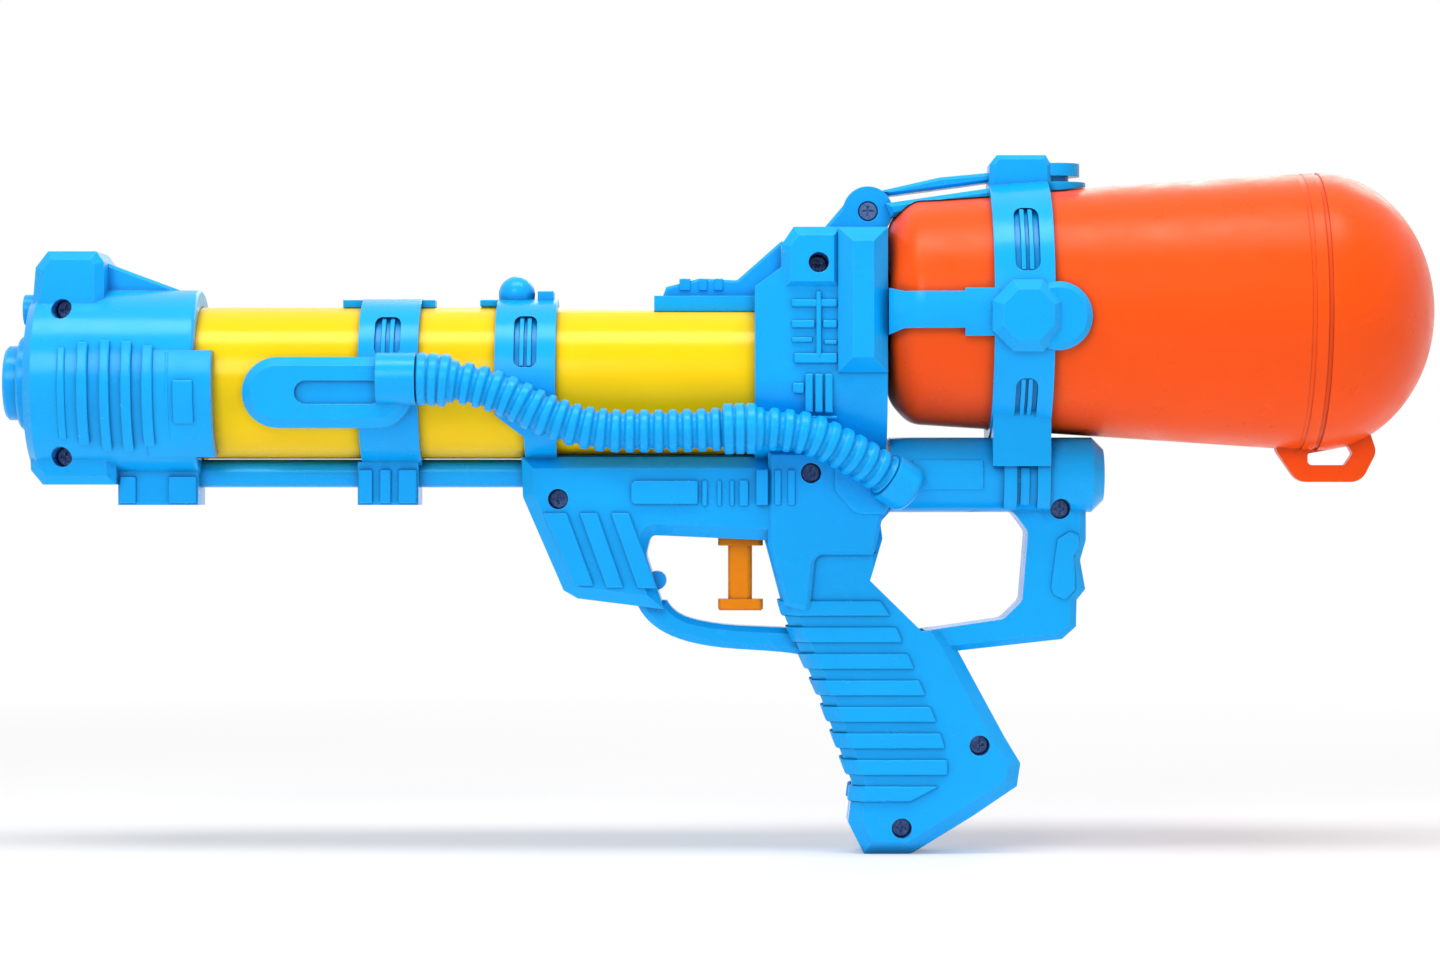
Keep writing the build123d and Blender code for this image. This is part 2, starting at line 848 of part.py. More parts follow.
with BuildPart() as housing_half:
    add(slab(receiver_outline, receiver_half, receiver_bevel))
    add(slab(loop_outline, loop_half, loop_bevel))
    add(slab(head_outline, head_half, head_bevel))
    add(guard_bar(guard_half, guard_bevel))
    add(slab(grip_outline, grip_half, grip_bevel))
    add(slab(loop_window, 60, 0), mode=Mode.SUBTRACT)
    add(pod(pod_radius, pod_front, pod_rear, pod_nose))
    add(block_form(0))
    add(slab(cap_outline, cap_half, cap_bevel))
    add(slab(cheek_outline, cheek_half, cheek_bevel))
    add(slab(sight_outline, sight_half, sight_bevel))
    add(block(flange_front, block_front + 2, -flange_half, 0, barrel_height + 23.9, flange_top))
    add(mid_band())
    saddle_top = barrel_height - barrel_radius + 3.0
    add(block(saddle_front, block_front, -saddle_half, 0, receiver_top - shell_wall, saddle_top))

    # hollows
    add(core(receiver_outline, receiver_half, receiver_bevel, shell_wall), mode=Mode.SUBTRACT)
    add(core(grip_outline, grip_half, grip_bevel, shell_wall), mode=Mode.SUBTRACT)
    add(core(loop_outline, loop_half, loop_bevel, shell_wall), mode=Mode.SUBTRACT)
    side_wall = -receiver_half + shell_wall
    passage = block(block_front + 8, 54, side_wall, 0, receiver_top - 33.4, receiver_top + 4)
    add(passage, mode=Mode.SUBTRACT)
    add(pod(pod_radius - pod_wall, pod_front + 1.8, pod_rear - pod_wall, pod_nose - 1.0), mode=Mode.SUBTRACT)
    add(block_form(block_wall), mode=Mode.SUBTRACT)

    # walls, ribs and posts inside
    add(loop_wall())
    add(barrel_rib())
    add(socket_rib())
    add(pump_rib(pump_front + 6.3))
    add(pump_rib(pump_front + 18.3))
    add(trigger_guides())
    add(posts(receiver_screws, receiver_half - 1))
    add(posts(head_screws, head_half - 1))
    add(posts(block_screws, block_half - 1))
    add(posts(grip_screws, grip_half - 1))
    add(posts(loop_screws, loop_half - 1))
    add(hose_gland())

    # seats
    bore = barrel_radius + seat_gap
    add(tube(mid_band_front - 20, barrel_rear + seat_gap, barrel_height, bore), mode=Mode.SUBTRACT)
    add(tube(rail_front, rail_rear + seat_gap, rail_height, rail_radius + seat_gap), mode=Mode.SUBTRACT)
    add(tube(block_rear - block_wall - 1, block_rear + 1, tank_height, neck_radius + 1.0), mode=Mode.SUBTRACT)
    add(trigger_slot(), mode=Mode.SUBTRACT)
    add(tongue_seat(seat_gap), mode=Mode.SUBTRACT)
    add(tank_clearance(0.9), mode=Mode.SUBTRACT)
    add(left_half_space(), mode=Mode.INTERSECT)

print("housing half solids", len(housing_half.part.solids()), "volume", round(housing_half.part.volume))

with BuildPart() as left_shell:
    add(housing_half.part)
    add(screw_holes(housing_screws, True), mode=Mode.SUBTRACT)
save(left_shell.part, "left_shell")

with BuildPart() as right_shell:
    mirror(housing_half.part, about=Plane.XZ)
    add(screw_holes(housing_screws, False), mode=Mode.SUBTRACT)
save(right_shell.part, "right_shell")

with BuildPart() as barrel_tube:
    add(tube(barrel_front, barrel_rear, barrel_height, barrel_radius, barrel_radius - barrel_wall))
save(barrel_tube.part, "barrel_tube")

with BuildPart() as under_rail:
    add(tube(rail_front, rail_rear, rail_height, rail_radius, rail_bore))
save(under_rail.part, "under_rail")


# Muzzle and nozzle


def skirt():
    """Curved plate on the side of the muzzle that reaches back over the barrel."""
    with BuildPart(mode=Mode.PRIVATE) as form:
        inner = barrel_radius + seat_gap
        add(tube(muzzle_rear - 16.0, skirt_rear, barrel_height, muzzle_radius + skirt_rise, inner))
        add(block(muzzle_front, 0, -60, -10, skirt_foot, skirt_top), mode=Mode.INTERSECT)
    return form.part


def muzzle_body():
    """Round body of the muzzle with its chamfered front."""
    with BuildPart(mode=Mode.PRIVATE) as form:
        add(tube(muzzle_front, muzzle_rear, barrel_height, muzzle_radius))
        chamfer(form.faces().sort_by(Axis.X)[0].edges(), muzzle_bevel)
        fillet(form.faces().sort_by(Axis.X)[-1].edges(), 1.5)
    return form.part


with BuildPart() as muzzle_half:
    add(muzzle_body())
    add(slab(brow_outline, nose_half, muzzle_bevel))
    add(slab(chin_outline, nose_half, muzzle_bevel))
    add(slab(fin_outline, brow_fin_half, 1.0))
    clamp_top = barrel_height - barrel_radius
    add(block(clamp_front, clamp_rear, -clamp_half, 0, rail_height - clamp_drop, clamp_top))
    add(skirt())
    inner = muzzle_radius - muzzle_wall
    add(tube(muzzle_front + muzzle_wall, muzzle_rear - muzzle_wall, barrel_height, inner), mode=Mode.SUBTRACT)
    add(core(brow_outline, nose_half, muzzle_bevel, muzzle_wall), mode=Mode.SUBTRACT)
    add(core(chin_outline, nose_half, muzzle_bevel, muzzle_wall), mode=Mode.SUBTRACT)
    add(tube(muzzle_ring, muzzle_ring + rib_thickness, barrel_height, inner + 1.0))
    add(posts(muzzle_screws, nose_half - 1))
    add(tube(barrel_front - seat_gap, -100, barrel_height, barrel_radius + seat_gap), mode=Mode.SUBTRACT)
    add(tube(muzzle_front - 2, barrel_front, barrel_height, nozzle_neck + seat_gap), mode=Mode.SUBTRACT)
    add(tube(rail_front - seat_gap, 0, rail_height, rail_radius + seat_gap), mode=Mode.SUBTRACT)
    add(left_half_space(), mode=Mode.INTERSECT)
print("muzzle half solids", len(muzzle_half.part.solids()))

with BuildPart() as muzzle_left:
    add(muzzle_half.part)
    add(screw_holes(muzzle_screws, True), mode=Mode.SUBTRACT)
save(muzzle_left.part, "muzzle_left")

with BuildPart() as muzzle_right:
    mirror(muzzle_half.part, about=Plane.XZ)
    add(screw_holes(muzzle_screws, False), mode=Mode.SUBTRACT)
save(muzzle_right.part, "muzzle_right")

with BuildPart() as nozzle:
    face = muzzle_front - seat_gap
    wall_back = muzzle_front + muzzle_wall + seat_gap
    with BuildSketch(Plane(origin=(0, 0, barrel_height), x_dir=(1, 0, 0), z_dir=(0, -1, 0))):
        with BuildLine():
            Polyline(
                (nozzle_tip + 1.6, nozzle_bore),
                (nozzle_tip + 1.6, nozzle_disc - 6.0),
                (nozzle_tip, nozzle_disc - 5.0),
                (nozzle_tip, nozzle_disc - 1.0),
                (nozzle_tip + 1.0, nozzle_disc),
                (nozzle_ring_front, nozzle_disc),
                (nozzle_ring_front, nozzle_ring - 0.8),
                (nozzle_ring_front + 0.8, nozzle_ring),
                (face, nozzle_ring),
                (face, nozzle_neck),
                (wall_back, nozzle_neck),
                (wall_back, nozzle_neck + 2.5),
                (wall_back + 2.0, nozzle_neck + 2.5),
                (wall_back + 2.0, stem_radius + 1.5),
                (wall_back + 4.0, stem_radius + 1.5),
                (wall_back + 4.0, stem_radius + shaft_gap),
                (wall_back - 2.0, stem_radius + shaft_gap),
                (wall_back - 2.0, nozzle_bore),
                close=True,
            )
        make_face()
    revolve(axis=barrel_axis)
save(nozzle.part, "nozzle")

with BuildPart() as nozzle_pipe:
    add(tube(nozzle_pipe_front, nozzle_pipe_rear, barrel_height, stem_radius, stem_bore))
    add(tube(nozzle_pipe_collar, nozzle_pipe_collar + 2.0, barrel_height, stem_radius + 1.6, stem_bore))
save(nozzle_pipe.part, "nozzle_pipe")


# Front band with its badge and clamp

with BuildPart() as front_band_half:
    badge_outer = badge_width / 2
    window_low = [(x, z - 32.8, r) for x, z, r in front_window]
    add(tube(front_band_front, front_band_rear, barrel_height, barrel_radius + band_thickness))
    add(block(fin_front, fin_rear, -fin_half, 0, barrel_height + 22, barrel_height + barrel_radius + 2.4))
    add(slab(front_window, 60, 0), mode=Mode.SUBTRACT)
    with BuildSketch(side.offset(10)):
        with Locations(((badge_front + badge_rear) / 2, badge_height)):
            SlotOverall(badge_rear - badge_front, badge_width)
    extrude(amount=badge_half - 10)
    chamfer(front_band_half.faces().sort_by(Axis.Y)[0].edges(), badge_bevel)
    with BuildSketch(side.offset(badge_half - badge_recess)):
        with Locations(((badge_front + badge_rear) / 2 + 4.0, badge_height)):
            SlotOverall(30.0, 8.0)
    extrude(amount=badge_recess, mode=Mode.SUBTRACT)
    add(tube(badge_rear - 12.0, front_band_rear, hose_route[0][2], hose_cuff, 0, -hose_side))
    clamp_foot = rail_height - clamp_drop
    add(block(front_band_front - 1.5, front_band_rear - 1, -clamp_half, 0, clamp_foot, rail_height + 4))
    add(tube(badge_front, front_band_rear + 5, barrel_height, barrel_radius + seat_gap), mode=Mode.SUBTRACT)
    add(tube(badge_front, front_band_rear + 5, rail_height, rail_radius + seat_gap), mode=Mode.SUBTRACT)
    add(left_half_space(), mode=Mode.INTERSECT)
print("front band half solids", len(front_band_half.part.solids()))

with BuildPart() as front_band_left:
    add(front_band_half.part)
save(front_band_left.part, "front_band_left")

with BuildPart() as front_band_right:
    mirror(front_band_half.part, about=Plane.XZ)
save(front_band_right.part, "front_band_right")


# Outside hoses

with BuildPart() as hose_left:
    add(hose(hose_route, hose_radius))
    add(tube(hose_start, hose_cuff_rear, hose_route[0][2], hose_cuff, 0, -hose_side))
    add(pod(pod_radius + seat_gap, pod_front - seat_gap, pod_rear, 0), mode=Mode.SUBTRACT)
save(hose_left.part, "hose_left")

with BuildPart() as hose_right:
    mirror(hose_left.part, about=Plane.XZ)
save(hose_right.part, "hose_right")


# Tank with its collar


def hug(gap, thickness):
    """Thin round skin that follows the tank's body at one gap."""
    with BuildPart(mode=Mode.PRIVATE) as form:
        add(tank_clearance(gap + thickness))
        add(tank_clearance(gap), mode=Mode.SUBTRACT)
        add(left_half_space(), mode=Mode.INTERSECT)
    return form.part


def collar_ring():
    """Half ring round the tank with its upper and lower windows."""
    with BuildPart(mode=Mode.PRIVATE) as form:
        add(hug(run_gap, collar_thickness))
        add(block(collar_front, collar_rear, -80, 0, 0, 300), mode=Mode.INTERSECT)
        add(slab(collar_window_top, 60, 0), mode=Mode.SUBTRACT)
        add(slab(collar_window_low, 60, 0), mode=Mode.SUBTRACT)
    return form.part


def collar_strap():
    """Flat strap along the tank's side from the block to the collar."""
    with BuildPart(mode=Mode.PRIVATE) as form:
        add(hug(run_gap, strap_thickness))
        add(slab(strap_outline, 60, 0), mode=Mode.INTERSECT)
        add(block(0, 66, -27, 0, 0, 300), mode=Mode.SUBTRACT)
    return form.part


def collar_knobs():
    """Eight-sided knob and round disc on the side of the collar."""
    with BuildPart(mode=Mode.PRIVATE) as facets:
        with BuildSketch(side.offset(knob_root)):
            with Locations(facet_knob):
                RegularPolygon(facet_knob_radius, 8, rotation=22.5)
        extrude(amount=facet_knob_half - knob_root)
        chamfer(facets.faces().sort_by(Axis.Y)[0].edges(), facet_knob_bevel)
    with BuildPart(mode=Mode.PRIVATE) as form:
        with BuildSketch(side.offset(knob_root)):
            with Locations(disc_knob):
                Circle(disc_knob_radius)
        extrude(amount=disc_knob_half - knob_root)
        chamfer(form.faces().sort_by(Axis.Y)[0].edges(), disc_knob_bevel)
        add(facets.part)
    return form.part


def pod_clamp():
    """Two ribs and a web that hold the collar on the pod."""
    with BuildPart(mode=Mode.PRIVATE) as form:
        add(pod(pod_radius + 2.2, clamp_rib_front, clamp_rib_front + clamp_rib_width, 0))
        add(pod(pod_radius + 2.2, clamp_rib_rear, clamp_rib_rear + clamp_rib_width, 0))
        add(block(collar_front + 0.5, collar_rear, -26, -13, pod_height + 3.0, tank_height - 34.0))
        add(block(0, 200, -60, -loop_half - 0.6, pod_height - 11.7, 200), mode=Mode.INTERSECT)
    return form.part


with BuildPart() as collar_half:
    add(collar_ring())
    add(collar_strap())
    add(collar_knobs())
    add(pod_clamp())
    add(slab(collar_top_outline, collar_top_half, 1.5))
    add(slab(upper_rail, upper_rail_half, 1.0))
    add(slab(lower_rail, lower_rail_half, 1.5))
    add(slab(lug_outline, lug_half, 1.0))
    with BuildSketch(side):
        with Locations(*lug_screws):
            Circle(lug_radius)
    extrude(amount=lug_half)
    for low, high, centre, radius in collar_discs:
        add(stack(centre, 0, [(low, high, radius)]))
    add(slab(collar_slot, 60, 0), mode=Mode.SUBTRACT)
    add(tank_clearance(run_gap), mode=Mode.SUBTRACT)
    add(pod(pod_radius + seat_gap, pod_root, pod_rear + 5, 0), mode=Mode.SUBTRACT)
    add(block(block_rear - 60, block_rear + seat_gap, -60, 0, 0, lug_outline[0][1]), mode=Mode.SUBTRACT)
    add(tongue_seat(0))
    add(left_half_space(), mode=Mode.INTERSECT)
print("collar half solids", len(collar_half.part.solids()))

with BuildPart() as collar_left:
    add(collar_half.part)
    add(screw_holes(lug_screws, True), mode=Mode.SUBTRACT)
save(collar_left.part, "collar_left")

with BuildPart() as collar_right:
    mirror(collar_half.part, about=Plane.XZ)
    add(screw_holes(lug_screws, False), mode=Mode.SUBTRACT)
save(collar_right.part, "collar_right")

with BuildPart() as tank:
    revolve(tank_profile(), axis=tank_axis)
    add(tube(neck_front, tank_face + 1, tank_height, neck_radius))
    for groove in tank_grooves:
        floor = tank_rear_radius - tank_groove_depth
        add(tube(groove, groove + tank_groove_width, tank_height, 60, floor), mode=Mode.SUBTRACT)
    with BuildSketch(side.offset(-tank_lug_half)):
        with BuildLine():
            outline(tank_lug_outline)
        make_face()
    extrude(amount=2 * tank_lug_half)
    with BuildSketch(side.offset(-20)):
        with BuildLine():
            outline(tank_lug_slot)
        make_face()
    extrude(amount=40, mode=Mode.SUBTRACT)
    revolve(tank_profile(tank_wall), axis=tank_axis, mode=Mode.SUBTRACT)
    add(tube(neck_front - 1, tank_face + 5, tank_height, neck_radius - neck_wall), mode=Mode.SUBTRACT)
save(tank.part, "tank")


# Neck, seal, socket and dip tube

with BuildPart() as tank_seal:
    seal_bore = neck_radius - neck_wall - 1.6
    add(tube(seal_front, seal_front + seal_thickness, tank_height, neck_radius - 0.4, seal_bore))
save(tank_seal.part, "tank_seal")

with BuildPart() as tank_socket:
    add(tube(socket_front, socket_rear, tank_height, socket_radius))
    add(tube(seal_front - 0.3, socket_rear + 1, tank_height, neck_radius + run_gap), mode=Mode.SUBTRACT)
    add(tube(chamber_front, plate_front, tank_height, socket_chamber_radius), mode=Mode.SUBTRACT)
    add(tube(plate_front - 1, seal_front + 1, tank_height, dip_tube_radius + shaft_gap), mode=Mode.SUBTRACT)
    add(stack(inlet_x, valve_side, [(socket_stem_foot, tank_height - socket_chamber_radius, stem_radius)]))
    add(stack(inlet_x, valve_side, [(socket_stem_foot, tank_height - 4.0, stem_bore)]), mode=Mode.SUBTRACT)
save(tank_socket.part, "tank_socket")

with BuildPart() as dip_tube:
    add(hose(dip_route, dip_tube_radius, dip_tube_bore))
save(dip_tube.part, "dip_tube")

with BuildPart() as strainer:
    dip_end = Vector(*dip_route[-1])
    along = (dip_end - Vector(*dip_route[-2])).normalized()
    with BuildSketch(Plane(origin=dip_end - along * 6.0, z_dir=along)):
        Circle(dip_tube_radius + 1.4)
        Circle(dip_tube_radius + shaft_gap, mode=Mode.SUBTRACT)
    extrude(amount=6.2)
    with BuildSketch(Plane(origin=dip_end + along * 0.2, z_dir=along)):
        Circle(dip_tube_radius + 1.4)
        with PolarLocations(2.4, 6):
            Circle(0.7, mode=Mode.SUBTRACT)
    extrude(amount=1.4)
save(strainer.part, "strainer")


# Pump

with BuildPart() as pump_body:
    wall_rear = pump_rear - end_wall
    add(tube(pump_front, pump_rear, pump_height, pump_bore + pump_wall))
    add(block(chest_front, pump_rear, -chest_half, chest_half, pump_height, chest_top))
    add(tube(pump_front - 1, wall_rear, pump_height, pump_bore), mode=Mode.SUBTRACT)
    port = block(wall_rear - 3.0, wall_rear, -1.4, 1.4, pump_height + 4, gallery_floor + 1)
    add(port, mode=Mode.SUBTRACT)
    gallery_half = valve_side + 1.5
    gallery_top = gallery_floor + 2.0
    gallery = block(inlet_x - 2.5, wall_rear, -gallery_half, gallery_half, gallery_floor, gallery_top)
    add(gallery, mode=Mode.SUBTRACT)
    with BuildSketch(Plane.XY.offset(gallery_floor)):
        with Locations((inlet_x, valve_side), (outlet_x, -valve_side)):
            Circle(seat_radius)
    extrude(amount=chamber_floor - gallery_floor + 1, mode=Mode.SUBTRACT)
    with BuildSketch(Plane.XY.offset(chamber_floor)):
        with Locations((inlet_x, valve_side), (outlet_x, -valve_side)):
            Circle(chamber_radius)
    extrude(amount=chest_top - chamber_floor, mode=Mode.SUBTRACT)
    with BuildSketch(Plane.XY.offset(chamber_floor - 1.0)):
        with Locations((inlet_x, valve_side)):
            Rectangle(2 * chamber_radius - 1.0, 1.2)
            Rectangle(1.2, 2 * chamber_radius - 1.0)
    extrude(amount=1.0, mode=Mode.SUBTRACT)
save(pump_body.part, "pump_body")

with BuildPart() as pump_gland:
    bearing = rod_radius + shaft_gap
    add(tube(pump_front - gland_flange, pump_front - shaft_gap, pump_height, pump_bore + pump_wall, bearing))
    plug_radius = pump_bore - shaft_gap
    add(tube(pump_front - gland_flange, pump_front + gland_depth, pump_height, plug_radius, bearing))
save(pump_gland.part, "pump_gland")

with BuildPart() as plunger:
    add(tube(post_front + 1.5, piston_front + 1, pump_height, rod_radius))
    add(tube(piston_front, piston_front + piston_length, pump_height, piston_radius))
    groove_front = piston_front + (piston_length - ring_width) / 2
    groove_floor = pump_bore - ring_depth - 2 * shaft_gap
    add(tube(groove_front, groove_front + ring_width, pump_height, 12, groove_floor), mode=Mode.SUBTRACT)
save(plunger.part, "plunger")

with BuildPart() as piston_ring:
    ring_front = groove_front + shaft_gap
    ring_outer = pump_bore - shaft_gap
    ring_inner = groove_floor + shaft_gap
    add(tube(ring_front, ring_front + ring_width - 2 * shaft_gap, pump_height, ring_outer, ring_inner))
    chamfer(piston_ring.edges().filter_by(GeomType.CIRCLE).group_by(SortBy.RADIUS)[-1], 0.5)
save(piston_ring.part, "piston_ring")

with BuildPart() as return_spring:
    spring_front = piston_front + piston_length + spring_wire + seat_gap
    spring_rear = pump_rear - end_wall - spring_wire - seat_gap
    with BuildLine() as coil:
        Helix(
            pitch=(spring_rear - spring_front) / spring_turns,
            height=spring_rear - spring_front,
            radius=spring_radius,
            center=(spring_front, 0, pump_height),
            direction=(1, 0, 0),
        )
    with BuildSketch(Plane(origin=coil.line @ 0, z_dir=coil.line % 0)):
        Circle(spring_wire)
    sweep(path=coil.line, is_frenet=True)
save(return_spring.part, "return_spring")

ball_height = chamber_floor + (ball_radius**2 - seat_radius**2) ** 0.5 + 0.05

with BuildPart() as inlet_ball:
    with Locations((inlet_x, valve_side, ball_height)):
        Sphere(ball_radius)
save(inlet_ball.part, "inlet_ball")

with BuildPart() as outlet_ball:
    with Locations((outlet_x, -valve_side, ball_height)):
        Sphere(ball_radius)
save(outlet_ball.part, "outlet_ball")

with BuildPart() as inlet_cap:
    plug_foot = ball_height + ball_lift + (ball_radius**2 - seat_radius**2) ** 0.5 + 0.1
    plug = (plug_foot, chest_top, chamber_radius - shaft_gap)
    rim = (chest_top + shaft_gap, chest_top + lid_thickness, chamber_radius + lid_overhang)
    stem = (chest_top, chest_top + inlet_stem_height, stem_radius)
    bore = (plug_foot, chest_top + inlet_stem_height + 1.0, stem_bore)
    add(stack(inlet_x, valve_side, [plug, rim, stem]))
    add(block(inlet_x - 1, inlet_x + 1, valve_side - 1, valve_side + 1, chest_top - 0.5, chest_top + 0.5))
    add(stack(inlet_x, valve_side, [bore, (plug_foot, plug_foot + 1.5, seat_radius)]), mode=Mode.SUBTRACT)
save(inlet_cap.part, "inlet_cap")

with BuildPart() as outlet_elbow:
    plug_foot = ball_height + ball_radius + ball_lift + 0.15
    plug = (plug_foot, chest_top, chamber_radius - shaft_gap)
    rim = (chest_top + shaft_gap, chest_top + lid_thickness, chamber_radius + lid_overhang)
    add(stack(outlet_x, -valve_side, [plug, rim, (chest_top - 0.5, elbow_height + 2.6, 3.2)]))
    add(tube(outlet_stem_tip, outlet_x, elbow_height, stem_radius, 0, -valve_side))
    add(tube(outlet_stem_tip - 1, outlet_x, elbow_height, stem_bore, 0, -valve_side), mode=Mode.SUBTRACT)
    with BuildSketch(Plane.XY.offset(plug_foot)):
        with Locations((outlet_x, -valve_side)):
            Circle(stem_bore)
            Rectangle(7.0, 1.2)
    extrude(amount=0.8, mode=Mode.SUBTRACT)
    add(stack(outlet_x, -valve_side, [(plug_foot, elbow_height, stem_bore)]), mode=Mode.SUBTRACT)
save(outlet_elbow.part, "outlet_elbow")

with BuildPart() as suction_hose:
    hose_foot = chest_top + lid_thickness + seat_gap
    with BuildSketch(Plane.XY.offset(hose_foot)):
        with Locations((inlet_x, valve_side)):
            Circle(water_hose_radius)
            Circle(water_hose_bore, mode=Mode.SUBTRACT)
    extrude(amount=tank_height - socket_radius - hose_foot)
    add(tube(socket_front - 5, socket_rear, tank_height, socket_radius + seat_gap), mode=Mode.SUBTRACT)
save(suction_hose.part, "suction_hose")

with BuildPart() as pressure_hose:
    add(hose(pressure_route, water_hose_radius, water_hose_bore))
save(pressure_hose.part, "pressure_hose")

with BuildPart() as trigger:
    flange = (trigger_front, trigger_rear, -trigger_half, trigger_half)
    add(block(*flange, trigger_top - flange_thickness, trigger_top))
    add(block(*flange, trigger_foot, trigger_foot + flange_thickness))
    fillet(trigger.edges().filter_by(Axis.Z), 1.8)
    chamfer(trigger.faces().sort_by(Axis.Z)[0].edges(), 0.6)
    with BuildSketch(Plane.XY.offset(trigger_foot + 1)):
        with Locations(((post_front + post_rear) / 2, 0)):
            RectangleRounded(post_rear - post_front, 2 * trigger_half - 1.2, 2.0)
    extrude(amount=trigger_top - trigger_foot - 2)
    tongue_half_width = trigger_half - 0.4
    tongue_top = pump_height + 4.6
    add(block(post_front, post_rear, -tongue_half_width, tongue_half_width, trigger_top - 1, tongue_top))
    add(tube(post_front + 1.2, post_rear + 1, pump_height, rod_radius + shaft_gap), mode=Mode.SUBTRACT)
save(trigger.part, "trigger")

with BuildPart() as case_screws:
    points = housing_screws + muzzle_screws + lug_screws
    with BuildSketch(side.offset(screw_seat + shaft_gap)):
        with Locations(*points):
            Circle(screw_head)
    extrude(amount=screw_head_height)
    with BuildSketch(side.offset(screw_seat + shaft_gap)):
        with Locations(*points):
            Circle(screw_shank)
    extrude(amount=-screw_length)
    with BuildSketch(side.offset(screw_seat + screw_head_height + shaft_gap)):
        with Locations(*points):
            Rectangle(3.6, 0.8)
            Rectangle(0.8, 3.6)
    extrude(amount=-1.2, mode=Mode.SUBTRACT)
save(case_screws.part, "case_screws")
print("screws", len(case_screws.part.solids()))
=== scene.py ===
import json
import math

import bmesh
import bpy
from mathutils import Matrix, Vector


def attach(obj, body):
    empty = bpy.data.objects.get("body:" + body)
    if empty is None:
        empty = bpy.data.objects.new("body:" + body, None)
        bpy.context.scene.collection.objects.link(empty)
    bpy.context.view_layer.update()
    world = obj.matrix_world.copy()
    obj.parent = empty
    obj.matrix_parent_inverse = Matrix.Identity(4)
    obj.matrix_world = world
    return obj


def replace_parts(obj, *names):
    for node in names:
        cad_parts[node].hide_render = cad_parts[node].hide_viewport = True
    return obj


# Visual model of the water squirter. Lengths are in metres, in the frame of the CAD model: the muzzle
# points along -X, +Z is up and the left side, with the screw heads, faces -Y.

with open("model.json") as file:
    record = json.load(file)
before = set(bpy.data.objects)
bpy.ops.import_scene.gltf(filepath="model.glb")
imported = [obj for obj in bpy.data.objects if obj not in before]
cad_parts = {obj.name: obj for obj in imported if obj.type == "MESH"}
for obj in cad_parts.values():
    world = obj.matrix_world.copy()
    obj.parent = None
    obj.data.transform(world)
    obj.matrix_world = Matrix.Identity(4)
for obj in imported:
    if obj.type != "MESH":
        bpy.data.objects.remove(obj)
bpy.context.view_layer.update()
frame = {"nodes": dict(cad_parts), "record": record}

# Camera, at the photograph's distance and framing
VIEW_DISTANCE = 1.5
VIEW_HEIGHT = 0.1299
LENS = 107.1
SENSOR_WIDTH = 36.0
VIEW_RANGE = (0.05, 50.0)

# Outside hose, along the centreline of its solid. A slope says at which shares of a ring its flank begins and
# reaches the crown.
HOSE_ROUTE = [
    (-0.10365, -0.0373, 0.1644),
    (-0.0827, -0.0373, 0.1644),
    (-0.0511, -0.0373, 0.1470),
    (-0.0180, -0.0373, 0.1464),
    (0.0180, -0.0373, 0.1481),
    (0.0380, -0.0356, 0.1440),
    (0.0570, -0.0282, 0.1316),
]
HOSE_RADIUS = 0.00735
HOSE_GROOVE = 0.0060
HOSE_PITCH = 0.0049
HOSE_SIDES = 48
RING_SLOPE = (0.10, 0.30)
RING_STEPS = 12
ROUTE_STEPS = 64
SHORTEST_RUN = 1e-9
CUFF_RADIUS = 0.0090
CUFF_END = -0.0924
CUFF_NOSE = 0.0012
CUFF_RINGS = 3
CUFF_GROOVE = 0.0011
CUFF_SLOPE = (0.02, 0.16)
MID_COLLAR_FRONT = 0.0008
MID_COLLAR_REAR = 0.0126
MID_COLLAR_RADIUS = 0.0087

scene = bpy.context.scene
scene.view_settings.view_transform = "Standard"


def add_camera():
    """Camera level with the middle of the photograph, looking along +Y."""
    data = bpy.data.cameras.new("camera")
    data.lens = LENS
    data.sensor_width = SENSOR_WIDTH
    data.clip_start, data.clip_end = VIEW_RANGE
    camera = bpy.data.objects.new("camera", data)
    camera.location = (0.0, -VIEW_DISTANCE, VIEW_HEIGHT)
    camera.rotation_euler = (math.pi / 2, 0.0, 0.0)
    scene.collection.objects.link(camera)
    scene.camera = camera


add_camera()


# Node helpers. The mix node's inputs and output are those for colours. Edge dots are cosines of the angle
# between the flat and the rounded normal, where an edge begins and where it is full.

NOISE_MIDDLE = (0.3, 0.7)
MIX_INPUTS = (0, 6, 7)
MIX_OUTPUT = 2
BEVEL_SAMPLES = 6
EDGE_DOTS = (0.995, 0.90)


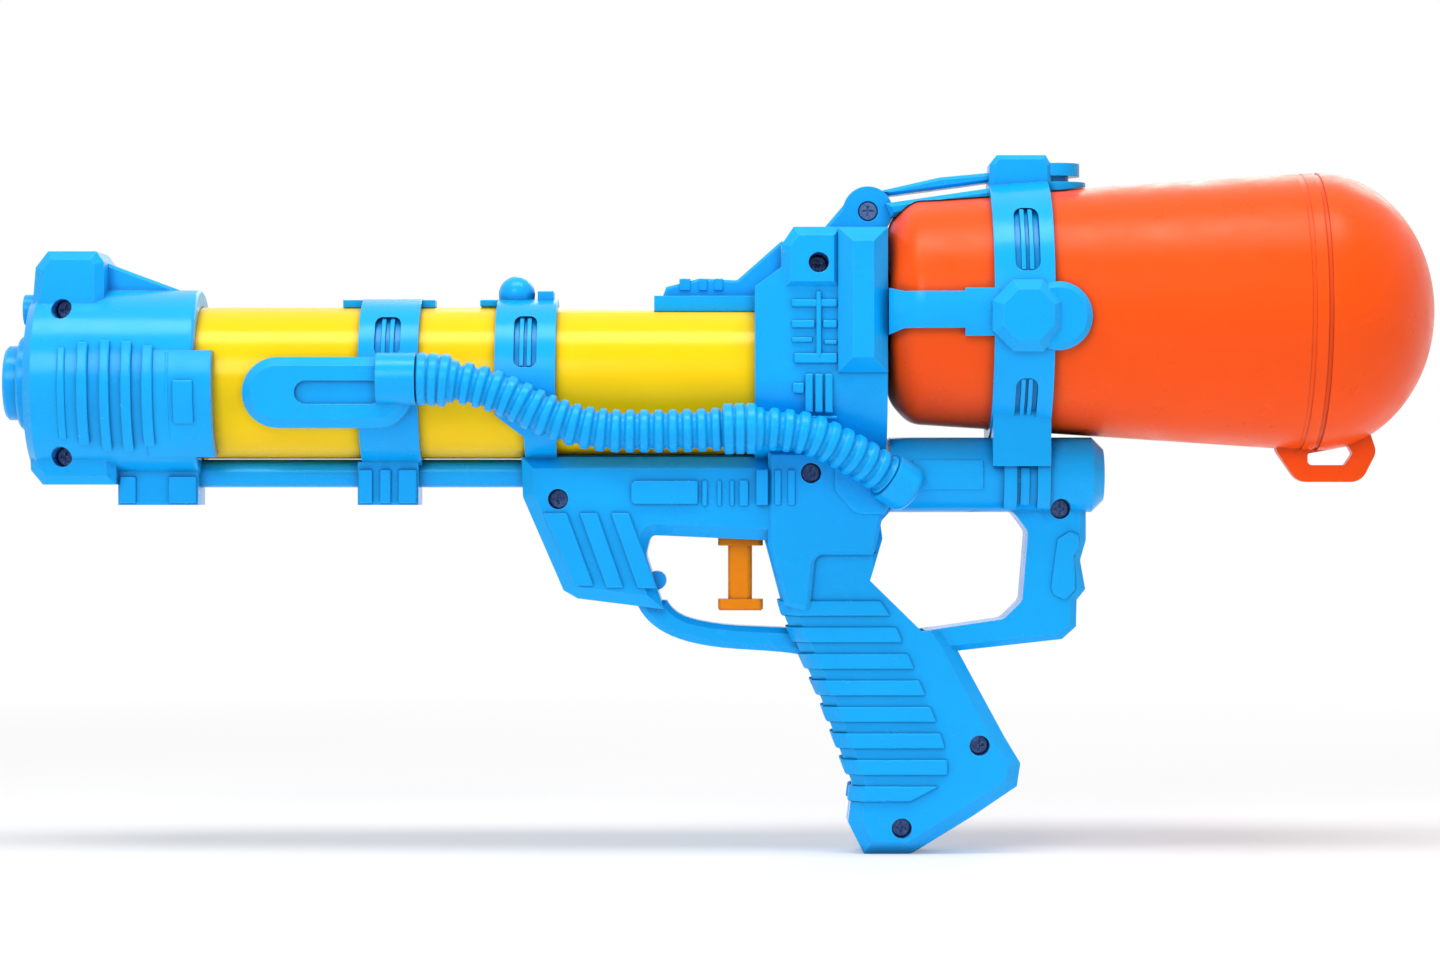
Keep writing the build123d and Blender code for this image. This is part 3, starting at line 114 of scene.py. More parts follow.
class Graph:
    """Short calls for building one material's node tree."""

    def __init__(self, name):
        self.material = bpy.data.materials.new(name)
        self.material.use_nodes = True
        self.tree = self.material.node_tree
        self.tree.nodes.clear()
        self.output = self.add("ShaderNodeOutputMaterial")
        self.coords = self.add("ShaderNodeNewGeometry").outputs["Position"]

    def add(self, kind, **settings):
        """New node with its settings."""
        node = self.tree.nodes.new(kind)
        for name, value in settings.items():
            setattr(node, name, value)
        return node

    def link(self, source, target):
        """Link from an output to an input."""
        self.tree.links.new(source, target)

    def put(self, socket, value):
        """Links an input to another node's output, or sets its value."""
        if isinstance(value, bpy.types.NodeSocket):
            self.link(value, socket)
        else:
            socket.default_value = value

    def feed(self, node, **values):
        """Fills inputs by name, with underscores in a name standing for spaces."""
        for name, value in values.items():
            self.put(node.inputs[name.replace("_", " ")], value)

    def stretch(self, scale):
        """Coordinates with their own scale along each axis."""
        node = self.add("ShaderNodeMapping")
        self.link(self.coords, node.inputs["Vector"])
        node.inputs["Scale"].default_value = scale
        return node.outputs["Vector"]

    def noise(self, size, detail=2.0, rough=0.5, stretch=(1, 1, 1)):
        """Noise between 0 and 1 whose blobs are about one size across, in metres."""
        node = self.add("ShaderNodeTexNoise")
        self.feed(node, Scale=1.0 / size, Detail=detail, Roughness=rough, Vector=self.stretch(stretch))
        return node.outputs["Fac"]

    def span(self, value, low, high, out_low, out_high):
        """One range of values carried over to another."""
        node = self.add("ShaderNodeMapRange")
        self.feed(node, Value=value, From_Min=low, From_Max=high, To_Min=out_low, To_Max=out_high)
        return node.outputs["Result"]

    def spread(self, noise, low=0.0, high=1.0):
        """Noise carried over to the range from low to high, with its rare ends cut off."""
        return self.span(noise, *NOISE_MIDDLE, low, high)

    def math(self, operation, first, second):
        """Sum, product or the like of two values."""
        node = self.add("ShaderNodeMath", operation=operation)
        self.put(node.inputs[0], first)
        self.put(node.inputs[1], second)
        return node.outputs["Value"]

    def blend(self, factor, first, second):
        """Colour between two colours."""
        node = self.add("ShaderNodeMix", data_type="RGBA")
        for index, value in zip(MIX_INPUTS, (factor, first, second)):
            self.put(node.inputs[index], (*value, 1.0) if isinstance(value, tuple) else value)
        return node.outputs[MIX_OUTPUT]

    def bump(self, height, depth, normal=None):
        """Normal that follows a height pattern of some depth, in metres."""
        node = self.add("ShaderNodeBump")
        self.feed(node, Height=height, Distance=depth, Strength=1.0)
        if normal is not None:
            self.link(normal, node.inputs["Normal"])
        return node.outputs["Normal"]

    def rounded(self, radius):
        """Normal that rounds every edge of a moulding by a small radius."""
        node = self.add("ShaderNodeBevel", samples=BEVEL_SAMPLES)
        node.inputs["Radius"].default_value = radius
        return node.outputs["Normal"]

    def edge_mask(self, radius):
        """1 near an outer edge and 0 on open faces."""
        round_normal = self.rounded(radius)
        flat_normal = self.add("ShaderNodeNewGeometry").outputs["Normal"]
        dot = self.add("ShaderNodeVectorMath", operation="DOT_PRODUCT")
        self.link(round_normal, dot.inputs[0])
        self.link(flat_normal, dot.inputs[1])
        return self.span(dot.outputs["Value"], *EDGE_DOTS, 0.0, 1.0)

    def finish(self, **values):
        """The material, with a surface of these values."""
        shader = self.add("ShaderNodeBsdfPrincipled")
        self.feed(shader, **values)
        self.link(shader.outputs[0], self.output.inputs["Surface"])
        return self.material


def shade(colour, factor):
    """Colour made darker or lighter."""
    return tuple(min(1.0, c * factor) for c in colour)


# Materials. Sizes and depths are in metres. Levels are the stretch of a noise that counts, and a shade is a
# factor on the colour.

CLOUD_SIZE = 0.030
CLOUD_LIFT = 0.5
SPECK_SIZE = 0.0011
SPECK_LEVELS = (0.62, 0.78)
SPECK_SHARE = 0.12
SPECK_SHADE = 1.6
MARK_SIZE = 0.0018
MARK_STRETCH = (1.0, 1.0, 7.0)
MARK_LEVELS = (0.60, 0.80)
MARK_ROUGHNESS = 0.10
EDGE_REACH = 1.6
WORN_LEVELS = (0.35, 0.65)
WORN_RANGE = (0.4, 1.6)
WORN_PALENESS = 0.35
# Painted shade: the colour is darkened where ambient occlusion finds geometry close by, in grooves, recesses
# and corners.
PAINTED_SHADE_SAMPLES = 8
PAINTED_SHADE_REACH = 0.004
PAINTED_SHADE_LEVELS = (0.35, 0.95)
PAINTED_SHADE_SHARE = 0.75
PAINTED_SHADE_DARKNESS = 0.35
GLOSS_SIZE = 0.012
GLOSS_RANGE = (0.75, 1.3)
SKIN_SIZE = 0.0016
SKIN_DEPTH = 0.00001
STREAK_SIZE = 0.003
SINK_SIZE = 0.018
SINK_DEPTH = 4 * SKIN_DEPTH
GLEAM_WHITE = 0.4
MOULDING_IOR = 1.45


def moulded(name, colour, rough, edge=0.0004, tint=0.05, wear=0.08, streaks=None):
    """Moulded plastic: cloudy colour, faint orange-peel skin, hairline marks, worn edges, painted shade in
    corners and grooves.
    """
    g = Graph(name)
    clouds = g.noise(CLOUD_SIZE, detail=3.0, rough=0.55)
    specks = g.noise(SPECK_SIZE, detail=2.0, rough=0.6)
    specks = g.span(specks, *SPECK_LEVELS, 0.0, SPECK_SHARE)
    marks = g.noise(MARK_SIZE, detail=4.0, rough=0.65, stretch=MARK_STRETCH)
    marks = g.span(marks, *MARK_LEVELS, 0.0, MARK_ROUGHNESS)
    body = g.blend(g.spread(clouds), shade(colour, 1 - tint), shade(colour, 1 + CLOUD_LIFT * tint))
    body = g.blend(specks, body, shade(colour, 1 - SPECK_SHADE * tint))
    patches = g.span(clouds, *WORN_LEVELS, *(wear * share for share in WORN_RANGE))
    worn = g.math("MULTIPLY", g.edge_mask(EDGE_REACH * edge), patches)
    body = g.blend(worn, body, tuple(c + (1 - c) * WORN_PALENESS for c in colour))
    # Painted shade: ambient occlusion darkens the colour in grooves, recesses and corners.
    painted_shade_ao = g.add("ShaderNodeAmbientOcclusion", samples=PAINTED_SHADE_SAMPLES)
    painted_shade_ao.inputs["Distance"].default_value = PAINTED_SHADE_REACH
    painted_shade = g.span(painted_shade_ao.outputs["AO"], *PAINTED_SHADE_LEVELS, PAINTED_SHADE_SHARE, 0.0)
    body = g.blend(painted_shade, body, shade(colour, PAINTED_SHADE_DARKNESS))
    gloss = g.noise(GLOSS_SIZE, detail=4.0, rough=0.6)
    gloss = g.math("ADD", g.spread(gloss, *(rough * share for share in GLOSS_RANGE)), marks)
    skin = g.noise(SKIN_SIZE)
    if streaks:
        skin = g.math("ADD", skin, g.noise(STREAK_SIZE, detail=3.0, stretch=streaks))
    normal = g.bump(skin, SKIN_DEPTH, g.rounded(edge))
    normal = g.bump(g.noise(SINK_SIZE, detail=1.0), SINK_DEPTH, normal)
    gleam = (*(GLEAM_WHITE + (1 - GLEAM_WHITE) * c for c in colour), 1.0)
    return g.finish(Base_Color=body, Roughness=gloss, Normal=normal, IOR=MOULDING_IOR, Specular_Tint=gleam)


RUBBER_CLOUDS = 0.004
RUBBER_SHADES = (0.7, 1.6)
RUBBER_PATCHES = 0.002
RUBBER_ROUGHNESS = (0.55, 0.75)
RUBBER_GRAIN = 0.0004
RUBBER_DEPTH = 0.00002
RUBBER_EDGE = 0.0002


def rubber(name, colour):
    """Matte rubber with a fine grain."""
    g = Graph(name)
    clouds = g.noise(RUBBER_CLOUDS, detail=3.0)
    body = g.blend(clouds, *(shade(colour, factor) for factor in RUBBER_SHADES))
    rough = g.spread(g.noise(RUBBER_PATCHES), *RUBBER_ROUGHNESS)
    normal = g.bump(g.noise(RUBBER_GRAIN), RUBBER_DEPTH, g.rounded(RUBBER_EDGE))
    return g.finish(Base_Color=body, Roughness=rough, Normal=normal)


SCRATCH_SIZE = 0.0006
SCRATCH_STRETCH = (1.0, 8.0, 1.0)
SCRATCH_SHADE = 0.5
SCRATCH_DEPTH = 0.000006
STEEL_PATCHES = 0.001
STEEL_GLOSS = (0.7, 1.4)
STEEL_EDGE = 0.00015


def metal(name, colour, rough):
    """Drawn or blackened steel with fine scratches."""
    g = Graph(name)
    scratches = g.noise(SCRATCH_SIZE, detail=4.0, rough=0.6, stretch=SCRATCH_STRETCH)
    body = g.blend(g.spread(scratches), shade(colour, SCRATCH_SHADE), colour)
    gloss = g.spread(g.noise(STEEL_PATCHES, detail=3.0), *(rough * share for share in STEEL_GLOSS))
    normal = g.bump(scratches, SCRATCH_DEPTH, g.rounded(STEEL_EDGE))
    return g.finish(Base_Color=body, Roughness=gloss, Normal=normal, Metallic=1.0)


TUBE_CLOUDS = 0.008
TUBE_SHADE = 0.85
TUBE_PATCHES = 0.003
TUBE_ROUGHNESS = (0.18, 0.34)
TUBE_WAVES = 0.004
TUBE_STRETCH = (0.2, 1, 1)
TUBE_DEPTH = 0.00003
TUBE_IOR = 1.43
TUBE_CLEARNESS = 0.55


def clear(name, colour):
    """Cloudy soft tube."""
    g = Graph(name)
    body = g.blend(g.noise(TUBE_CLOUDS, detail=3.0), shade(colour, TUBE_SHADE), colour)
    gloss = g.spread(g.noise(TUBE_PATCHES, detail=3.0), *TUBE_ROUGHNESS)
    normal = g.bump(g.noise(TUBE_WAVES, stretch=TUBE_STRETCH), TUBE_DEPTH)
    return g.finish(
        Base_Color=body, Roughness=gloss, Normal=normal, IOR=TUBE_IOR, Transmission_Weight=TUBE_CLEARNESS
    )


BLUE = (0.003, 0.415, 0.96)
YELLOW = (1.0, 0.64, 0.0)
ORANGE = (1.0, 0.088, 0.002)
AMBER = (1.0, 0.27, 0.001)
WHITE = (0.82, 0.82, 0.79)
BARREL_STREAKS = (0.02, 1, 1)
materials = {
    "blue_plastic": moulded("blue_plastic", BLUE, 0.23),
    "blue_hose": moulded("blue_hose", BLUE, 0.30, edge=0.0003),
    "yellow_plastic": moulded("yellow_plastic", YELLOW, 0.20, tint=0.04, wear=0.0, streaks=BARREL_STREAKS),
    "tank_plastic": moulded("tank_plastic", ORANGE, 0.33, tint=0.04, wear=0.03, edge=0.0008),
    "trigger_plastic": moulded("trigger_plastic", AMBER, 0.28, tint=0.03, edge=0.0005),
    "white_plastic": moulded("white_plastic", WHITE, 0.35, tint=0.04),
    "clear_tube": clear("clear_tube", (0.86, 0.90, 0.92)),
    "black_rubber": rubber("black_rubber", (0.018, 0.018, 0.020)),
    "spring_steel": metal("spring_steel", (0.62, 0.62, 0.64), 0.28),
    # The dark steel's blue is partly blued steel and partly a painted reflection of the blue housing around
    # the screw heads.
    "dark_steel": metal("dark_steel", (0.10, 0.17, 0.36), 0.42),
}

node_slots = {part["node"]: part["material_slot"] for part in frame["record"]["subparts"]}
for node, piece in frame["nodes"].items():
    piece.data.materials.clear()
    piece.data.materials.append(materials[node_slots[node]])


def new_piece(name, verts, faces, slot):
    """Smooth mesh with the material of its slot."""
    mesh = bpy.data.meshes.new(name)
    mesh.from_pydata(verts, [], faces)
    mesh.validate()
    mesh.shade_smooth()
    mesh.materials.append(materials[slot])
    piece = bpy.data.objects.new(name, mesh)
    scene.collection.objects.link(piece)
    return piece


# Corrugated hoses


def spline_points(route, resolution):
    """Points along the smooth NURBS line of a route."""
    data = bpy.data.curves.new("route", "CURVE")
    data.dimensions = "3D"
    spline = data.splines.new("NURBS")
    spline.points.add(len(route) - 1)
    for point, place in zip(spline.points, route):
        point.co = (*place, 1.0)
    spline.order_u = 3
    spline.use_endpoint_u = True
    spline.resolution_u = resolution
    holder = bpy.data.objects.new("route", data)
    scene.collection.objects.link(holder)
    bpy.context.view_layer.update()
    mesh = bpy.data.meshes.new_from_object(holder)
    points = [vertex.co.copy() for vertex in mesh.vertices]
    bpy.data.meshes.remove(mesh)
    bpy.data.objects.remove(holder)
    bpy.data.curves.remove(data)
    return points


def along(points):
    """Running length at each point of a line."""
    lengths = [0.0]
    for before, after in zip(points, points[1:]):
        lengths.append(lengths[-1] + (after - before).length)
    return lengths


def stations(points, places):
    """Position and direction at each running length."""
    lengths = along(points)
    found, index = [], 0
    for place in places:
        while index < len(points) - 2 and lengths[index + 1] < place:
            index += 1
        run = points[index + 1] - points[index]
        share = (place - lengths[index]) / max(lengths[index + 1] - lengths[index], SHORTEST_RUN)
        found.append((points[index] + run * share, run.normalized()))
    return found


def plateau(share, low, high):
    """Height of one ring: 1 on its crown, 0 in the groove, smooth in between."""
    rise = min(1.0, max(0.0, (0.5 - abs(share - 0.5) - low) / (high - low)))
    return rise * rise * (3 - 2 * rise)


def ring_radius(place, marks):
    """Radius of the hose at a running length: a ribbed end cuff, a ribbed middle collar, rings elsewhere."""
    if place < CUFF_NOSE:
        return CUFF_RADIUS - CUFF_NOSE + math.sqrt(CUFF_NOSE**2 - (CUFF_NOSE - place) ** 2)
    for start, end, crown in marks:
        if start <= place <= end:
            share = (place - start) / (end - start) * CUFF_RINGS % 1.0
            return crown - CUFF_GROOVE + CUFF_GROOVE * plateau(share, *CUFF_SLOPE)
    share = place / HOSE_PITCH % 1.0
    return HOSE_GROOVE + (HOSE_RADIUS - HOSE_GROOVE) * plateau(share, *RING_SLOPE)


def make_hose(name, side):
    """Hose with moulded rings along the route, on the left for -1 and mirrored for 1."""
    line = spline_points([(x, -side * y, z) for x, y, z in HOSE_ROUTE], ROUTE_STEPS)
    lengths = along(line)
    total = lengths[-1]
    middle = [place for point, place in zip(line, lengths) if MID_COLLAR_FRONT <= point.x <= MID_COLLAR_REAR]
    cuff = CUFF_END - HOSE_ROUTE[0][0]
    marks = [(0.0, cuff, CUFF_RADIUS), (middle[0], middle[-1], MID_COLLAR_RADIUS)]
    count = int(total / HOSE_PITCH * RING_STEPS)
    places = [min(total, i * HOSE_PITCH / RING_STEPS) for i in range(count + 1)] + [total]
    verts, faces = [], []
    turn = Vector((0, 0, 1))
    for place, (centre, direction) in zip(places, stations(line, places)):
        turn = (turn - direction * turn.dot(direction)).normalized()
        other = direction.cross(turn)
        radius = ring_radius(place, marks)
        for k in range(HOSE_SIDES):
            angle = 2 * math.pi * k / HOSE_SIDES
            verts.append(centre + radius * (math.cos(angle) * turn + math.sin(angle) * other))
    rows = len(places)
    for i in range(rows - 1):
        for k in range(HOSE_SIDES):
            a, b = i * HOSE_SIDES + k, i * HOSE_SIDES + (k + 1) % HOSE_SIDES
            faces.append((a, b, b + HOSE_SIDES, a + HOSE_SIDES))
    faces.append(tuple(reversed(range(HOSE_SIDES))))
    faces.append(tuple((rows - 1) * HOSE_SIDES + k for k in range(HOSE_SIDES)))
    piece = new_piece(name, verts, faces, "blue_hose")
    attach(piece, "housing")
    return piece


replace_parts(make_hose("ribbed_hose_left", -1), "hose_left")
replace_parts(make_hose("ribbed_hose_right", 1), "hose_right")


# Moulded relief on the housing, drawn in millimetres on the left and mirrored to the right. A bar is given by
# its front, rear, low and high edges, and where bars differ by its rise over the surface that carries it.
# Most forms reach ROOT below that surface. Bevels are in metres.

MM_PER_METRE = 1000
BARREL_HEIGHT = 163.8
TANK_HEIGHT = 188.7
BARREL_AXIS = (0.0, BARREL_HEIGHT)
TANK_AXIS = (0.0, TANK_HEIGHT)
ROOT = 0.4
ARC_STEPS = 10
BOSS_STEPS = 16
BEVEL_SEGMENTS = 3
BEVEL_ANGLE = math.radians(40)
FINE_BEVEL = 0.0003
RELIEF_BEVEL = 0.0004
BAR_BEVEL = 0.0006
RIB_BEVEL = 0.0008
PAD_BEVEL = 0.0012


def loft(rings):
    """Closed form through rings of equally many points."""
    count = len(rings[0])
    last = (len(rings) - 1) * count
    verts = [point for ring in rings for point in ring]
    faces = [tuple(range(count)), tuple(reversed(range(last, last + count)))]
    for start in range(0, last, count):
        for i in range(count):
            j = (i + 1) % count
            faces.append((start + i, start + i + count, start + j + count, start + j))
    return verts, faces


def prism(points, low, high):
    """Closed form between two distances from the parting plane, drawn as (x, z)."""
    return loft([[(x, -side, z) for x, z in points] for side in (low, high)])


def bar(x0, x1, z0, z1, low, high):
    """Upright bar standing on a flat side."""
    return prism([(x0, z0), (x1, z0), (x1, z1), (x0, z1)], low, high)


def arc_bar(x0, x1, z0, z1, centre, inner, outer):
    """Bar that follows a round side between two heights, about an axis along X at (y, z) = centre."""
    first, last = (math.asin((z - centre[1]) / outer) for z in (z0, z1))
    rings = []
    for i in range(ARC_STEPS + 1):
        angle = first + (last - first) * i / ARC_STEPS
        ring = []
        for x, radius in ((x0, inner), (x1, inner), (x1, outer), (x0, outer)):
            ring.append((x, centre[0] - radius * math.cos(angle), centre[1] + radius * math.sin(angle)))
        rings.append(ring)
    return loft(rings)


def half_round(x0, x1, height, radius):
    """Left half of a round boss along X."""
    turns = [math.pi * i / BOSS_STEPS for i in range(BOSS_STEPS + 1)]
    section = [(-radius * math.sin(turn), height + radius * math.cos(turn)) for turn in turns]
    return loft([[(x, y, z) for y, z in section] for x in (x0, x1)])


def between(points, height):
    """X of a side line of (x, z) points at one height, from the top down."""
    for (x0, z0), (x1, z1) in zip(points, points[1:]):
        if z1 <= height <= z0:
            return x0 + (x1 - x0) * (z0 - height) / (z0 - z1)
    return points[-1][0]


def grip_pad(low, high):
    """Pad that wraps the front edge of the grip between two heights."""
    rings = []
    for z in (low, high):
        front, rear = between(GRIP_FRONT, z), between(GRIP_REAR, z)
        section = [
            (front - PAD_RISE, GRIP_HALF - GRIP_BEVEL - PAD_WRAP),
            (front - PAD_RISE, GRIP_HALF - GRIP_BEVEL),
            (front + GRIP_BEVEL - PAD_CORNER * PAD_RISE, GRIP_HALF + PAD_RISE),
            (rear, GRIP_HALF + PAD_RISE),
            (rear, GRIP_HALF - ROOT),
            (front + GRIP_BEVEL, GRIP_HALF - ROOT),
            (front + ROOT, GRIP_HALF - GRIP_BEVEL),
            (front + ROOT, GRIP_HALF - GRIP_BEVEL - PAD_WRAP),
        ]
        rings.append([(x, -y, z) for x, y in section])
    return loft(rings)


def add_relief(name, forms, bevel=RELIEF_BEVEL):
    """One piece with the same forms on both sides of the housing."""
    verts, faces = [], []
    for side in (1, -1):
        for form_verts, form_faces in forms:
            start = len(verts)
            verts += [(x / MM_PER_METRE, side * y / MM_PER_METRE, z / MM_PER_METRE) for x, y, z in form_verts]
            faces += [tuple(start + i for i in face) for face in form_faces]
    piece = new_piece(name, verts, faces, "blue_plastic")
    shape = bmesh.new()
    shape.from_mesh(piece.data)
    bmesh.ops.recalc_face_normals(shape, faces=shape.faces)
    shape.to_mesh(piece.data)
    shape.free()
    soften = piece.modifiers.new("bevel", "BEVEL")
    soften.width = bevel
    soften.segments = BEVEL_SEGMENTS
    soften.limit_method = "ANGLE"
    soften.angle_limit = BEVEL_ANGLE
    soften.harden_normals = True
    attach(piece, "housing")


# Grip pads between its grooves
GRIP_HALF = 15.5
GRIP_BEVEL = 4.5
GRIP_FRONT = [(15.6, 109.0), (23.0, 81.2), (35.5, 53.4), (46.2, 24.0), (44.5, 11.0)]
GRIP_REAR = [
    (51.5, 95.0),
    (54.6, 90.0),
    (60.3, 81.0),
    (68.3, 62.5),
    (76.0, 44.0),
    (78.9, 34.0),
    (78.9, 27.0),
    (75.5, 22.8),
    (65.8, 18.3),
    (56.3, 14.2),
]
PAD_RISE = 1.3
PAD_WRAP = 3.0
PAD_CORNER = 0.4
PAD_COUNT = 8
GROOVE_TOP = 91.9
GROOVE_PITCH = 9.19
GROOVE_WIDTH = 3.7

forms = []
for index in range(PAD_COUNT):
    top = GROOVE_TOP - GROOVE_WIDTH - index * GROOVE_PITCH
    forms.append(grip_pad(top - GROOVE_PITCH + GROOVE_WIDTH, top))
add_relief("grip_pads", forms, PAD_BEVEL)

# Fore-grip panels between its two slots, and the tongue, ribs and grooved box behind them
FORE_HALF = 17.0
PANEL_RISE = 1.4
PANELS = [
    [(-61.4, 118.6), (-53.0, 118.6), (-43.6, 93.3), (-50.6, 93.3)],
    [(-48.8, 118.6), (-42.4, 118.6), (-33.3, 92.6), (-39.3, 92.6)],
    [(-37.9, 118.6), (-31.5, 118.6), (-21.8, 92.4), (-28.5, 92.4)],
    [(-30.8, 122.6), (-29.6, 121.5), (-7.6, 121.5), (-7.6, 129.7), (-29.6, 129.7), (-30.8, 128.6)],
]
FORE_RIBS = [(-6.3, -4.3), (-1.0, 0.6), (3.4, 5.0), (6.6, 9.9)]
FORE_RIB_HEIGHTS = (120.9, 129.9)
FORE_RIB_RISE = 1.0
BOX_RIBS = [(12.5, 16.7), (18.8, 21.2), (23.4, 26.1)]
BOX_RIB_HEIGHTS = (121.2, 133.6)
BOX_RIB_RISE = 2.3

forms = [prism(points, FORE_HALF - ROOT, FORE_HALF + PANEL_RISE) for points in PANELS]
forms += [bar(*ends, *FORE_RIB_HEIGHTS, FORE_HALF - ROOT, FORE_HALF + FORE_RIB_RISE) for ends in FORE_RIBS]
forms += [bar(*ends, *BOX_RIB_HEIGHTS, FORE_HALF - ROOT, FORE_HALF + BOX_RIB_RISE) for ends in BOX_RIBS]
add_relief("fore_grip_relief", forms, BAR_BEVEL)

# Ribs on the side of the muzzle with a low rib at each end, and the latch behind them
MUZZLE_RADIUS = 32.5
MUZZLE_RIBS = [
    (-220.5, -216.8, 141.6, 177.5, 1.9),
    (-212.7, -209.3, 139.6, 178.2, 1.9),
    (-205.4, -201.8, 139.3, 177.7, 1.9),
    (-198.2, -194.4, 141.2, 176.3, 1.9),
    (-227.4, -224.6, 143.6, 175.6, 0.8),
    (-190.4, -188.9, 142.6, 174.4, 0.8),
]
LATCH = (-187.6, -180.6, 149.0, 164.2)
LATCH_RISE = 1.7

forms = []
for *place, rise in MUZZLE_RIBS:
    forms.append(arc_bar(*place, BARREL_AXIS, MUZZLE_RADIUS - ROOT, MUZZLE_RADIUS + rise))
forms.append(arc_bar(*LATCH, BARREL_AXIS, MUZZLE_RADIUS, MUZZLE_RADIUS + LATCH_RISE))
add_relief("muzzle_ribs", forms, RIB_BEVEL)

# Floors and ribs in the windows of the bands and of the collar
BAND_WINDOWS = [(-71.0, -63.1, 168.7, 186.5), (-119.0, -110.1, 172.8, 186.2), (-119.0, -110.1, 140.0, 153.4)]
BAND_FLOOR = (26.7, 27.4)
BAND_RIB = 28.7
COLLAR_WINDOWS = [(100.6, 109.1, 201.2, 223.3), (101.2, 108.7, 148.6, 164.6)]
COLLAR_FLOOR = (42.75, 43.5)
COLLAR_RIB = 45.0
WINDOW_RIBS = 2
WINDOW_RIB_HALF = 0.8
WINDOW_RIB_MARGIN = 0.3
FLOOR_LAP = 0.1
RIB_SINK = 0.2


def window_forms(windows, axis, floor, crown):
    """Thin curved floor and upright ribs in each window."""
    inner, outer = floor
    found = []
    for front, rear, low, high in windows:
        edges = (front - FLOOR_LAP, rear + FLOOR_LAP, low - FLOOR_LAP, high + FLOOR_LAP)
        found.append(arc_bar(*edges, axis, inner, outer))
        pitch = (rear - front) / (WINDOW_RIBS + 1)
        for index in range(WINDOW_RIBS):
            middle = front + pitch * (index + 1)
            ends = (middle - WINDOW_RIB_HALF, middle + WINDOW_RIB_HALF)
            heights = (low + WINDOW_RIB_MARGIN, high - WINDOW_RIB_MARGIN)
            found.append(arc_bar(*ends, *heights, axis, outer - RIB_SINK, crown))
    return found


forms = window_forms(BAND_WINDOWS, BARREL_AXIS, BAND_FLOOR, BAND_RIB)
forms += window_forms(COLLAR_WINDOWS, TANK_AXIS, COLLAR_FLOOR, COLLAR_RIB)
add_relief("window_floors", forms, FINE_BEVEL)

# Pipes and bars on the side of the block
BLOCK_HALF = 29.6
BLOCK_BARS = [
    (24.5, 40.3, 189.3, 192.0, 1.1),
    (24.5, 32.6, 182.1, 184.8, 1.1),
    (35.2, 40.3, 182.1, 184.8, 1.1),
    (24.5, 31.8, 177.1, 179.0, 0.9),
    (35.6, 40.3, 176.4, 178.0, 0.9),
    (25.4, 40.3, 170.0, 173.5, 1.3),
    (33.0, 34.8, 172.0, 194.6, 1.6),
    (29.2, 31.9, 152.9, 166.4, 1.5),
    (32.6, 35.3, 152.9, 166.4, 1.5),
    (36.0, 38.7, 152.9, 166.4, 1.5),
    (25.0, 28.9, 159.6, 163.3, 1.2),
    (25.0, 40.3, 150.6, 152.0, 0.9),
]

forms = [bar(*place, BLOCK_HALF - ROOT, BLOCK_HALF + rise) for *place, rise in BLOCK_BARS]
add_relief("block_relief", forms, BAR_BEVEL)

# Bumps along the sight
SIGHT_BUMPS = [(-14.2, -10.3), (-7.4, -4.4), (-2.1, 1.1)]
SIGHT_HEIGHTS = (196.0, 200.3)
SIGHT_HALF = 3.1

forms = [bar(*ends, *SIGHT_HEIGHTS, 0.0, SIGHT_HALF) for ends in SIGHT_BUMPS]
add_relief("sight_bumps", forms)

# Boss on the muzzle's front, and bars on the clamps under the front band and the muzzle
BOSS = (-243.4, -239.2)
BOSS_HEIGHT = 189.3
BOSS_RADIUS = 5.5
CLAMP_HALF = 10.0
CLAMP_BARS = [
    (-125.6, -120.8, 121.8, 133.6, 1.4),
    (-118.2, -114.4, 121.8, 133.6, 1.4),
    (-111.8, -105.4, 121.8, 133.6, 1.4),
    (-208.8, -203.0, 121.8, 131.2, 1.2),
    (-191.8, -182.0, 121.8, 131.2, 1.2),
]

forms = [half_round(*BOSS, BOSS_HEIGHT, BOSS_RADIUS)]
forms += [bar(*place, CLAMP_HALF - ROOT, CLAMP_HALF + rise) for *place, rise in CLAMP_BARS]
add_relief("clamp_bars", forms, BAR_BEVEL)

# Panel and ring on the side pod
POD_AXIS = (-9.2, 131.7)
POD_RADIUS = 13.0
POD_FORMS = [(66.5, 91.0, 126.4, 137.0, 0.6), (103.6, 107.0, 121.0, 134.4, 0.9)]

forms = [arc_bar(*place, POD_AXIS, POD_RADIUS - ROOT, POD_RADIUS + rise) for *place, rise in POD_FORMS]
add_relief("pod_relief", forms)

# Tab and step on top of the middle band, each with its half width
BAND_STEPS = [(-83.7, -77.3, 190.4, 192.8, 5.0), (-63.6, -58.0, 192.2, 195.8, 6.0)]

forms = [bar(*place, 0.0, half) for *place, half in BAND_STEPS]
add_relief("band_steps", forms)

# Pad under the hose's rear end
HOSE_PAD_HALF = 19.4
HOSE_PAD = [
    (39.4, 136.0),
    (39.4, 126.4),
    (46.0, 118.8),
    (49.0, 117.8),
    (56.4, 117.8),
    (59.4, 121.6),
    (59.4, 136.0),
]
add_relief("hose_pad", [prism(HOSE_PAD, FORE_HALF - ROOT, HOSE_PAD_HALF)], PAD_BEVEL)

# Bump inside the trigger guard
BUMP_X = -22.0
BUMP_Z = 94.9
BUMP_RADIUS = 3.3
BUMP_HALF = 7.0
BUMP_SIDES = 24

bump = []
for index in range(BUMP_SIDES):
    turn = 2 * math.pi * index / BUMP_SIDES
    bump.append((BUMP_X + BUMP_RADIUS * math.cos(turn), BUMP_Z + BUMP_RADIUS * math.sin(turn)))
add_relief("guard_bump", [prism(bump, 0.0, BUMP_HALF)], RIB_BEVEL)

